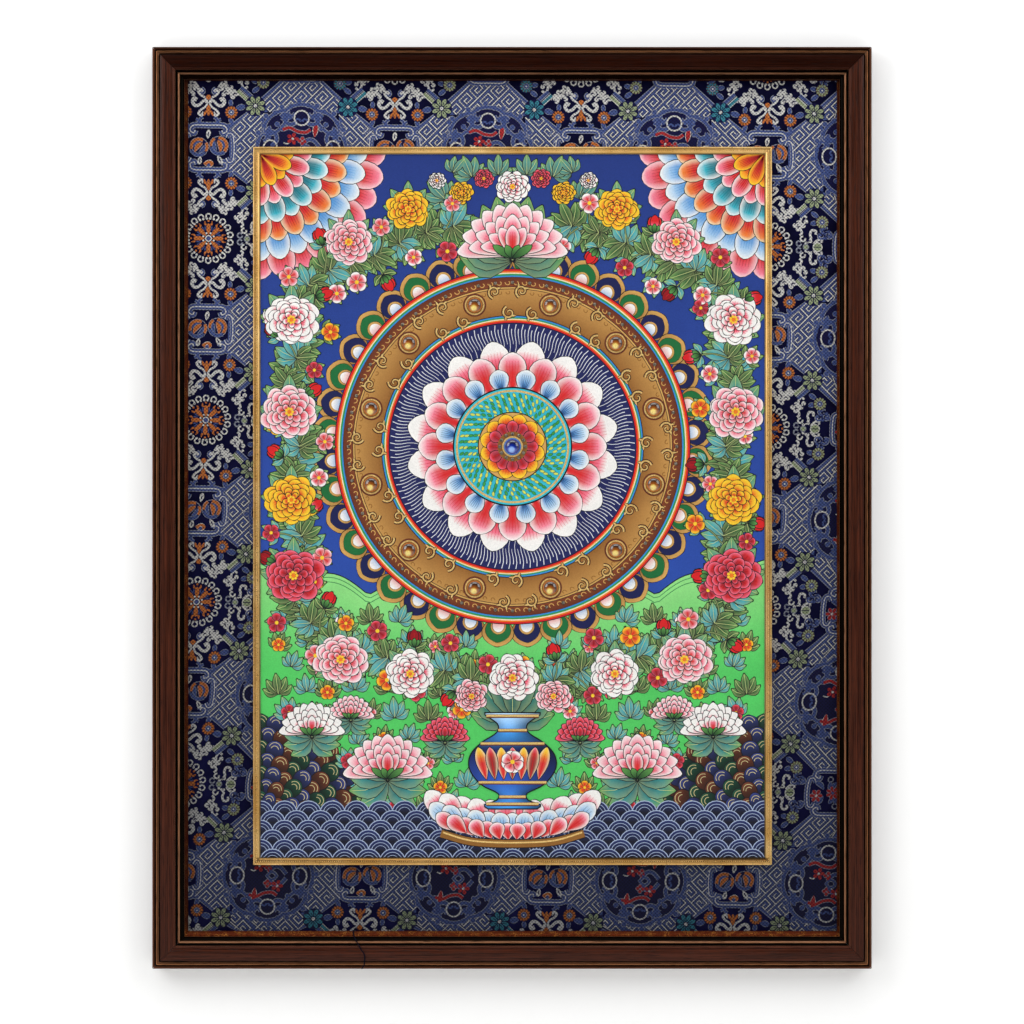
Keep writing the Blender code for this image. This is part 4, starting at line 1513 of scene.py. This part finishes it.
def corner_fan(side):
    """A quarter lotus in a top corner, in rings from pale to red."""
    centre = complex(HALF_WIDTH * side, HALF_HEIGHT)
    aim = math.pi if side > 0 else 0.0
    for order, (reach, foot, count, stops) in enumerate((
        (122, 70, 8, ((0, CRIMSON), (0.68, RED), (0.9, PINK), (1, PALE_PINK))),
        (104, 56, 8, ((0, SKY), (0.6, SKY), (0.85, PALE_BLUE), (1, WHITE))),
        (86, 42, 7, ((0, CRIMSON), (0.7, RED), (0.9, ORANGE), (1, CREAM))),
        (68, 28, 6, ((0, TEAL), (0.6, TEAL), (0.85, TURQUOISE_PAINT), (1, WHITE))),
        (50, 12, 5, ((0, CRIMSON), (0.65, RED), (0.9, PINK), (1, WHITE))),
        (32, 0, 4, ((0, CRIMSON), (0.6, RED), (0.8, ORANGE), (1, YELLOW))),
    )):
        for number in range(count + 1):
            way = np.exp(1j * (aim + side * math.pi / 2 * number / count))
            petal(centre + way * foot, centre + way * reach, reach * math.pi / 2 / count * 1.14, stops,
                  0.03 + 0.028 * order + 0.01 * (number % 2), belly=1.6, blunt=0.5, rim=stops[-1][1], veins=5,
                  vein_tint=stops[0][1])


def corner_scales(side):
    """A quarter medallion of dark scales with pale lines in a lower corner."""
    centre = complex(HALF_WIDTH * side, -HALF_HEIGHT + 36)
    aim = math.pi if side > 0 else 0.0
    for ring in range(8):
        reach = 104 - 12.5 * ring
        count = 10 - ring
        for number in range(count + 1):
            bearing = aim - side * math.pi / 2 * (number + 0.5 * (ring % 2)) / count
            way = np.exp(1j * bearing)
            hue = (shade(54, 66, 130), shade(30, 84, 62), shade(120, 62, 40))[(ring + number) % 3]
            lift = 0.03 + 0.018 * ring + 0.009 * (number % 2)
            wide = reach * math.pi / 2 / count * 1.12
            petal(centre + way * (reach - 26), centre + way * reach, wide,
                  [(0, INK), (0.6, hue * 0.25), (1, hue)], lift, ground, 1.7, 0.45, line=0.9)
            for drawn, inward in ((0.78, 7.2), (0.5, 8.4)):
                arc = ring_line(0, wide / 2 * drawn, 9, bearing - 1.35, 2.7)
                brush(
                    centre + way * (reach - inward) + arc * 0.86, 0.6, SCALE_LINE, lift + 0.005,
                    same_layer=True
                )


def clear_of_wheel(place, gap):
    return abs(place - WHEEL) > WHEEL_RADIUS + gap


def climbing_vine(side):
    """A stem from the vase's mouth round the wheel to the crown, with leaves, flowers and buds."""
    course = [
        complex(x * side, y)
        for x,
        y in ((8, -196), (38, -172), (84, -156), (132, -146), (176, -132), (212, -92), (204, -40), (219, 10),
                     (208, 62), (220, 116), (206, 160), (208, 204), (176, 232), (138, 244), (94, 264),
                     (48, 276))
    ]
    stem = smooth_line(course, 14)
    brush(stem, 3.4, INK, 0.07, foliage)
    brush(stem, 2.2, STEM, 0.075, foliage)
    tangents = np.gradient(stem)
    for number in range(3, len(stem) - 1, 4):
        at, way = stem[number], tangents[number] / abs(tangents[number])
        for hand in (1, -1):
            lean = way * np.exp(1j * hand * chance.uniform(0.75, 1.2))
            leaf_spray(
                at, lean, chance.uniform(20, 28), 0.08 + 0.048 * (number // 4 % 2), 5,
                (number // 4 + hand) % 3 % 2
            )
    for number in range(5, len(stem) - 3, 5):
        at, way = stem[number], tangents[number] / abs(tangents[number])
        hand = 1 if number // 5 % 2 else -1
        reach = chance.uniform(20, 34)
        twig = smooth_line(
            [at, at + way * reach * 0.5 * np.exp(0.9j * hand), at + way * reach * np.exp(1.1j * hand)], 4
        )
        end = twig[-1]
        if abs(end.real) > HALF_WIDTH - 9 or not clear_of_wheel(end, 6) or end.imag > HALF_HEIGHT - 12:
            continue
        brush(twig, 2.0, INK, 0.17, foliage)
        brush(twig, 1.2, STEM, 0.175, foliage)
        far = (twig[-1] - twig[-2]) / abs(twig[-1] - twig[-2])
        leaf_spray(end - far * 5, far, 17, 0.17, 4, number % 2)
        hue = ("pink", "white", "red", "yellow")[int(chance.integers(4))]
        if number % 3:
            small_flower(end, chance.uniform(8, 10.5), hue, 0.22, turn=chance.uniform(0, 1))
        else:
            bud(end - far * 3, end + far * 13, hue, 0.22)
    for x, y, radius, hue in (
        (216, 182, 28, "white"), (218, 92, 29, "pink"), (216, 6, 27, "yellow"), (214, -68, 30, "red"),
        (168, -150, 28, "pink"), (100, -164, 26, "white"), (160, 258, 25, "pink"), (102, 290, 22, "yellow"),
    ):
        leaf_spray(complex(x * side, y), 1j, radius * 1.25, 0.14, 9, 0.6, 2.9)
        peony(complex(x * side, y), radius, hue, 0.24, turn=0.3 * side)


def vase():
    """A vase with lotus panels on a petalled foot. The stems and a bunch of flowers rise from its mouth."""
    leaf_spray(-206j, 1j, 52, 0.2, 9, 0.3, 1.5)
    for x, y, radius, hue, lift in (
        (-40, -186, 18, "pink", 0.24), (40, -186, 18, "pink", 0.24), (0, -168, 25, "white", 0.43)
    ):
        peony(complex(x, y), radius, hue, lift)
    for row, (count, wide, low, high, hue) in enumerate((
        (12, 84, -316, -288, "white"), (13, 80, -322, -300, "blue"), (14, 74, -326, -310, "pink"),
    )):
        for number in range(count):
            fan = (number - (count - 1) / 2) / ((count - 1) / 2)
            sag = 9 * fan**2
            foot, tip = complex(wide * 0.72 * fan, low + sag), complex(wide * fan, high + sag)
            petal(
                foot, tip, wide * 2.9 / count, FLOWER_HUES[hue],
                0.26 + 0.05 * row + 0.011 * ring_order(number, count),
                belly=1.5, blunt=0.55, rim=WHITE, veins=3, vein_tint=NAVY if hue == "blue" else RED,
            )
    foot_rim = smooth_line([-70 - 320j, -40 - 328j, 0 - 330j, 40 - 328j, 70 - 320j])
    brush(foot_rim, 9.0, INK, 0.42, blossom)
    brush(foot_rim, 7.4, OCHRE_DARK, 0.43, blossom)
    brush(smooth_line([-68 - 319j, -40 - 327j, 0 - 329j, 40 - 327j, 68 - 319j]), 1.6, 1.0, 0.46, gold)
    profile = (
        (-296, 24), (-292, 28), (-288, 16), (-281, 14), (-272, 31), (-257, 42), (-243, 41), (-231, 30),
        (-222, 16),
        (-214, 14), (-208, 21), (-204, 27), (-202, 27),
    )
    heights = np.array([height for height, _ in profile], float)
    outline = smooth_line(np.array([width for _, width in profile]) + 1j * heights, 5)
    fine = np.linspace(heights[0], heights[-1], 45)
    half = np.interp(fine, outline.imag, outline.real)
    aside = np.linspace(-1, 1, 13)
    rows = np.array([half * part + 1j * fine for part in aside])
    light = np.clip(1.25 - 0.85 * np.abs(aside + 0.25), 0.3, 1.1)
    glaze = blend(
        [(0, SKY), (0.3, BLUE_LOW), (0.62, NAVY), (0.8, SKY), (1, PALE_BLUE)], np.linspace(0, 1, 45)
    )
    blossom.lay(rows, glaze[None] * light[:, None, None] * 1.3, 0.62)
    around = np.concatenate([half + 1j * fine, (-half + 1j * fine)[::-1], (half + 1j * fine)[:1]])
    brush(around, 1.2, INK, 0.63, blossom)
    for height in (-291, -284, -270, -232, -219, -205):
        wide = float(np.interp(height, outline.imag, outline.real))
        brush([complex(-wide, height - 0.4), complex(wide, height - 0.4)], 3.6, BROWN, 0.635, blossom)
        brush([complex(-wide, height), complex(wide, height)], 2.2, 1.0, 0.66, gold)
    for number in range(7):
        across = (number - 3) * 10.6
        stops = FLOWER_HUES["red" if number % 2 else "yellow"]
        foot, tip = complex(across * 0.8, -267), complex(across * 1.06, -236)
        petal(foot, tip, 11, stops, 0.64 + 0.01 * (number % 2), rim=CREAM, veins=1)
    small_flower(complex(0, -250), 11, "white", 0.67, petals=8)


LOW_FLOWERS = (
    (122, -268, 84, "pink"), (196, -226, 62, "white"), (66, -232, 46, "red"), (158, -210, 44, "pink")
)


def meadow_flowers(side):
    """Low plants and lotuses over the meadow, beside the vase."""
    for row in range(9):
        for number in range(8):
            x = 34 + 26 * number + 13 * (row % 2) + chance.uniform(-4, 4)
            place = complex(x * side, -298 + 23 * row + chance.uniform(-4, 4))
            hidden = abs(place.imag + 262) < 62 and x < 44 or abs(place - complex(245 * side, -310)) < 96
            if hidden or not clear_of_wheel(place, 26) or x > 232 or place.imag > -108:
                continue
            lean = 1j * np.exp(1j * chance.normal(0, 0.25))
            leaf_spray(
                place, lean, chance.uniform(15, 21), 0.02 + 0.012 * (number % 4), 5, (row + number) % 2
            )
            if (row + 2 * number) % 3 == 0:
                small_flower(
                    place + 2j, chance.uniform(6, 8), ("pink", "white", "yellow", "red")[(row + number) % 4],
                    0.12
                )
    for x, y, width, hue in LOW_FLOWERS:
        foot = complex(x * side, y)
        leaf_spray(foot, 1j, width * 0.56, 0.15, 11, 0.5, 2.3)
        lotus(foot + 3j, width, hue, 0.25)


def crown():
    """The lotus and blossoms over the wheel."""
    leaf_spray(240j, 1j, 66, 0.13, 13, 0.3, 1.5)
    lotus(244j, 104, "pink", 0.24)
    for side in (1, -1):
        for x, y, size, turn in (
            (66, 300, 24, 2.3), (40, 322, 22, 1.9), (14, 324, 20, 1.5), (58, 326, 18, 0.8)
        ):
            leaf_spray(complex(x * side, y), 1j * np.exp(-1j * side * (turn - 1.5)), size, 0.14, 5, 0.5)
        for x, y, radius, hue in ((28, 320, 10, "red"), (50, 306, 12, "yellow"), (74, 318, 9, "white")):
            peony(complex(x * side, y), radius, hue, 0.2)
    peony(312j, 17, "white", 0.39)


field_and_meadow()
palmette_ring()
jewelled_wheel()
scallop_waves()
for side in (1, -1):
    chance = np.random.default_rng(8)
    corner_fan(side)
    corner_scales(side)
    climbing_vine(side)
    meadow_flowers(side)
crown()
vase()


def mineral_paint():
    made, tree, shader = new_material("Mineral paint", Roughness=0.6, Specular_IOR_Level=0.25)
    place = object_place(tree)
    colour = add_node(tree, "Attribute", attribute_name="Paint").outputs["Color"]
    weave = use_group(tree, weave_group, {"Place": place, "Pitch": 0.0009})
    grainy = noise(tree, place, 900.0, 3.0, 0.6)
    washed = noise(tree, place, 45.0, 3.0)
    body = toned(tree, 0.35, colour, washed, [(0.3, (0.72, 0.72, 0.74, 1)), (0.7, grey(1.0))])
    body = toned(tree, 0.3, body, grainy, [(0.35, grey(0.6)), (0.6, grey(1.0))])
    feed(tree, shader, Base_Color=body, Normal=bumped(tree, weave["Height"], 0.00005))
    return made


def raised_gold():
    made, tree, shader = new_material("Raised gold", Metallic=0.4)
    place = object_place(tree)
    fine = noise(tree, place, 1100.0, 2.0)
    body = colour_ramp(tree, fine, [(0.3, linear(214, 164, 84)), (0.65, linear(250, 220, 146))])
    feed(
        tree, shader, Base_Color=body, Roughness=spread(tree, fine, 0.3, 0.7, 0.28, 0.46),
        Normal=bumped(tree, fine, 0.00008)
    )
    return made


colours = mineral_paint()
ground.make("painted_ground", colours, "painting", "Paint")
foliage.make("painted_leaves", colours, "painting", "Paint")
blossom.make("painted_flowers", colours, "painting", "Paint")
gold.make("gold_lines", raised_gold(), "painting", "Paint")

# Metal studs
# Small round-headed studs set in the wheel's rim and round its hub.
STUD_DIAMETER = 0.0036
STUD_RISE = 0.0013
PAINT_ON_RIM, PAINT_ON_HUB = 0.0002, 0.0004


def dark_metal():
    made, tree, shader = new_material("Dark metal", Metallic=0.9, Roughness=0.28)
    worn = noise(tree, object_place(tree), 600.0, 2.0)
    feed(
        tree, shader,
        Base_Color=colour_ramp(tree, worn, [(0.3, linear(70, 66, 62)), (0.7, linear(150, 142, 128))])
    )
    return made


stud = bmesh.new()
bmesh.ops.create_uvsphere(stud, u_segments=12, v_segments=6, radius=STUD_DIAMETER / 2)
bmesh.ops.bisect_plane(
    stud, geom=stud.verts[:] + stud.edges[:] + stud.faces[:], plane_co=(0, 0, 0), plane_no=(0, 1, 0),
    clear_outer=True
)
bmesh.ops.holes_fill(stud, edges=[edge for edge in stud.edges if edge.is_boundary])
bmesh.ops.scale(stud, vec=(1.0, 2 * STUD_RISE / STUD_DIAMETER, 1.0), verts=stud.verts)
stud_marks = [WHEEL + STUD_RING * np.exp(1j * math.tau * number / 60) for number in range(60)]
stud_marks += [WHEEL + HUB_STUDS * np.exp(1j * math.tau * number / 12) for number in range(12)]
cloth_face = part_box("painted_canvas")[0].y
stud_places = []
for mark in stud_marks:
    paint = PAINT_ON_RIM if abs(mark - WHEEL) > 99 else PAINT_ON_HUB
    stud_places.append(
        (pack_centre.x + mark.real / 1000, cloth_face - paint, pack_centre.z + mark.imag / 1000)
    )
add_piece("metal_studs", repeated("metal_studs", stud, stud_places), dark_metal())


# Loose thread
# One limp navy thread that has worked out of the brocade's lower edge and hangs over the bottom rail.
THREAD_DIAMETER = 0.0012
THREAD_POINTS_PER_SPAN = 3
PLY_PITCH = 0.0009
THREAD_ROUTE = (
    (-0.1530, -0.4106, 0.0098),
    (-0.1547, -0.4143, 0.0160),
    (-0.1526, -0.4196, 0.0222),
    (-0.1492, -0.4243, 0.0264),
    (-0.1467, -0.4288, 0.0277),
    (-0.1437, -0.4329, 0.0281),
    (-0.1429, -0.4367, 0.0286),
    (-0.1432, -0.4404, 0.0290),
    (-0.1437, -0.4441, 0.0290),
    (-0.1459, -0.4475, 0.0287),
)


def smooth_course(route, steps):
    """Points along a curve that passes smoothly through every point of the route."""
    ends = [route[0] * 2 - route[1], *route, route[-1] * 2 - route[-2]]
    course = []
    for before, start, end, after in zip(ends, ends[1:], ends[2:], ends[3:]):
        leaving = start + (end - before) / 6
        arriving = end - (after - start) / 6
        course += interpolate_bezier(start, leaving, arriving, end, steps + 1)[:-1]
    return [*course, route[-1]]


def twisted_thread():
    made, tree, shader = new_material("Twisted thread", Roughness=0.9, Specular_IOR_Level=0.1)
    place = object_place(tree)
    turned = add_node(tree, "Mapping", {"Vector": place, "Rotation": (0.0, math.radians(38), 0.0)}).outputs[0]
    along = axes_of(tree, turned)[2]
    ply = arithmetic(tree, "SINE", times(tree, along, math.tau / PLY_PITCH))
    body = colour_ramp(
        tree, spread(tree, ply, -1.0, 1.0), [(0.0, linear(3, 3, 10)), (1.0, linear(12, 12, 30))]
    )
    feed(tree, shader, Base_Color=body, Normal=bumped(tree, ply, 0.0001))
    return made


frame_centre = (frame_low + frame_high) / 2
thread_route = [frame_centre + Vector((x, -forward, z)) for x, z, forward in THREAD_ROUTE]
thread_course = smooth_course(thread_route, THREAD_POINTS_PER_SPAN)
thread_line = bpy.data.curves.new("loose_end", "CURVE")
thread_line.dimensions = "3D"
thread_line.bevel_depth = THREAD_DIAMETER / 2
thread_line.bevel_resolution = 3
thread_line.use_fill_caps = True
thread_spline = thread_line.splines.new("POLY")
thread_spline.points.add(len(thread_course) - 1)
for point, place in zip(thread_spline.points, thread_course):
    point.co = (*place, 1.0)
loose_end = add_piece("loose_end", thread_line, twisted_thread())
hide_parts("loose_thread")


# Glass domes
# Amber and blue glass, cut flat behind, backed with foil and glued on the cloth. Their light is painted into
# their
# colour: a painted glow low in each dome, where the foil would throw the light back, and a deep top.
DOME_GIRDLE = 0.0008
DOME_STEPS = 10


def foiled_glass(name, deep, body, glow, rim):
    made, tree, shader = new_material(name, Roughness=0.12, Coat_Weight=1.0, Coat_Roughness=0.03, IOR=1.52)
    tone = add_node(tree, "Attribute", attribute_name="Dome_tones").outputs["Vector"]
    axes = axes_of(tree, tone)
    # Painted light: a glow low in the dome, darkening to a deep top
    down = colour_ramp(
        tree,
        axes[0],
        [(0.0, linear(*glow)), (0.22, linear(*glow)), (0.42, linear(*body)), (0.75, linear(*deep))],
    )
    edge = spread(tree, axes[1], 0.8, 0.97)
    sparkle = noise(tree, scaled(tree, object_place(tree), (1.0, 0.2, 1.0)), 900.0, 1.0)
    colour = mixed(tree, "MIX", edge, down, linear(*rim))
    colour = toned(tree, 0.35, colour, sparkle, [(0.35, grey(0.4)), (0.7, grey(1.0))])
    feed(tree, shader, Base_Color=colour)
    return made


def smooth_dome(node, finish):
    """A finely turned dome in a solid dome's place, with painted tones from a painted glow at its foot to a
    deep top.
    """
    low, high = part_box(node)
    middle = (low + high) / 2
    radius = (high.x - low.x) / 2
    back, girdle, front = high.y, high.y - DOME_GIRDLE, low.y
    shape = bmesh.new()
    rise = girdle - front
    corners = [(0.0, back), (radius, back), (radius, girdle)]
    for step in range(1, DOME_STEPS + 1):
        angle = math.pi / 2 * step / DOME_STEPS
        across = radius * math.cos(angle) if step < DOME_STEPS else 0.0
        corners.append((across, girdle - rise * math.sin(angle)))
    line = [shape.verts.new((x, y, 0.0)) for x, y in corners]
    edges = [shape.edges.new(pair) for pair in zip(line, line[1:])]
    bmesh.ops.spin(
        shape, geom=line + edges, cent=(0, 0, 0), axis=(0, 1, 0), angle=math.tau, steps=40, use_merge=True
    )
    bmesh.ops.remove_doubles(shape, verts=shape.verts, dist=0.000002)
    bmesh.ops.recalc_face_normals(shape, faces=shape.faces)
    dome_tones = shape.verts.layers.float_vector.new("Dome_tones")
    # Where each point lies in the dome's painted glow, and how far out it is
    for vertex in shape.verts:
        x, _, z = vertex.co
        out = math.hypot(x, z) / radius
        low_glow = math.hypot(x / radius + 0.12, z / radius + 0.42)
        vertex[dome_tones] = (min(low_glow / 1.2, 1.0), out, 0.0)
        vertex.co += Vector((middle.x, 0.0, middle.z))
    dome = add_piece(node.replace("cabochon", "dome"), smooth_mesh(node, shape, 50), finish)
    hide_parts(node)


amber = foiled_glass("Amber glass", (56, 28, 10), (170, 92, 26), (255, 226, 120), (214, 120, 40))
blue = foiled_glass("Blue glass", (6, 10, 60), (14, 50, 170), (150, 190, 255), (20, 60, 190))
for number in range(1, 13):
    smooth_dome(f"amber_cabochon_{number:02d}", amber)
smooth_dome("blue_cabochon", blue)


# Stage and light
# A white wall right behind the frame, a plain pale floor out of sight below, and soft light from all round
# that is stronger from above, as from a broad studio lamp under a white ceiling.
FLOOR_DROP = 0.30
WALL_GAP = 0.0006
STAGE_REACH = 4.0


def pale_surface(name, colour, glow=0.0, one_sided=False):
    made, tree, shader = new_material(
        name, Base_Color=linear(*colour), Emission_Color=(1.0, 1.0, 1.0, 1.0), Emission_Strength=glow
    )
    mottled = noise(tree, object_place(tree), 3.0, 2.0)
    feed(tree, shader, Roughness=spread(tree, mottled, 0.0, 1.0, 0.85, 0.95))
    if one_sided:
        behind = add_node(tree, "NewGeometry").outputs["Backfacing"]
        clear = add_node(tree, "BsdfTransparent").outputs[0]
        choice = add_node(tree, "MixShader", {0: behind, 1: shader.outputs[0], 2: clear})
        output = tree.nodes["Material Output"]
        tree.links.new(choice.outputs[0], output.inputs["Surface"])
    return made


def stage_plane(name, finish, start, end):
    """A flat rectangle between two opposite corners, one side of it level."""
    corners = (start, (end[0], *start[1:]), end, (start[0], *end[1:]))
    shape = bmesh.new()
    shape.faces.new([shape.verts.new(corner) for corner in corners])
    data = bpy.data.meshes.new(name)
    shape.to_mesh(data)
    shape.free()
    data.materials.append(finish)
    made = bpy.data.objects.new(name, data)
    bpy.context.scene.collection.objects.link(made)
    return made


floor_level = frame_low.z - FLOOR_DROP
wall = stage_plane(
    "wall",
    pale_surface("White wall", (246, 246, 246), 0.15, one_sided=True),
    (-STAGE_REACH, WALL_GAP, floor_level),
    (STAGE_REACH, WALL_GAP, STAGE_REACH),
)
for ray in ("diffuse", "glossy", "transmission", "shadow", "volume_scatter"):
    setattr(wall, f"visible_{ray}", False)
stage_plane(
    "floor",
    pale_surface("Pale floor", (236, 236, 234)),
    (-STAGE_REACH, -STAGE_REACH, floor_level),
    (STAGE_REACH, STAGE_REACH, floor_level),
)

world = bpy.data.worlds.new("Studio")
world.use_nodes = True
bpy.context.scene.world = world
sky = world.node_tree
toward = add_node(sky, "SeparateXYZ", {0: add_node(sky, "TexCoord").outputs["Generated"]}).outputs
# How bright the studio is from behind the frame round to the viewer's side, and from the floor to the ceiling
ROUND_FRAME = ((0.0, 0.75), (0.5, 1.0), (0.72, 1.0), (0.86, 0.16), (1.0, 0.05))
UP_TO_CEILING = ((0.0, 0.4), (0.5, 0.62), (0.85, 1.0))
ring = colour_ramp(
    sky, spread(sky, times(sky, toward[1], -1.0), -1.0, 1.0), [(at, grey(level)) for at, level in ROUND_FRAME]
)
overhead = [(at, grey(level)) for at, level in UP_TO_CEILING]
studio = toned(sky, 1.0, ring, spread(sky, toward[2], -1.0, 1.0), overhead)
sky.links.new(studio, sky.nodes["Background"].inputs["Color"])
sky.nodes["Background"].inputs["Strength"].default_value = 1.08


def soft_lamp(name, place, aim, width, height, power):
    data = bpy.data.lights.new(name, "AREA")
    data.shape = "RECTANGLE"
    data.size = width
    data.size_y = height
    data.energy = power
    lamp = bpy.data.objects.new(name, data)
    lamp.location = place
    lamp.rotation_euler = (Vector(aim) - Vector(place)).to_track_quat("-Z", "Y").to_euler()
    bpy.context.scene.collection.objects.link(lamp)


soft_lamp("left_lamp", (-1.7, -1.5, 0.5), (0.0, 0.0, -0.4), 1.2, 1.4, 20.0)
soft_lamp("right_lamp", (1.7, -1.5, 0.5), (0.0, 0.0, -0.4), 1.2, 1.4, 15.0)
soft_lamp("top_lamp", (0.0, -1.2, 1.5), (0.0, 0.0, -0.3), 1.8, 0.8, 12.5)
bpy.context.scene.view_settings.view_transform = "Standard"
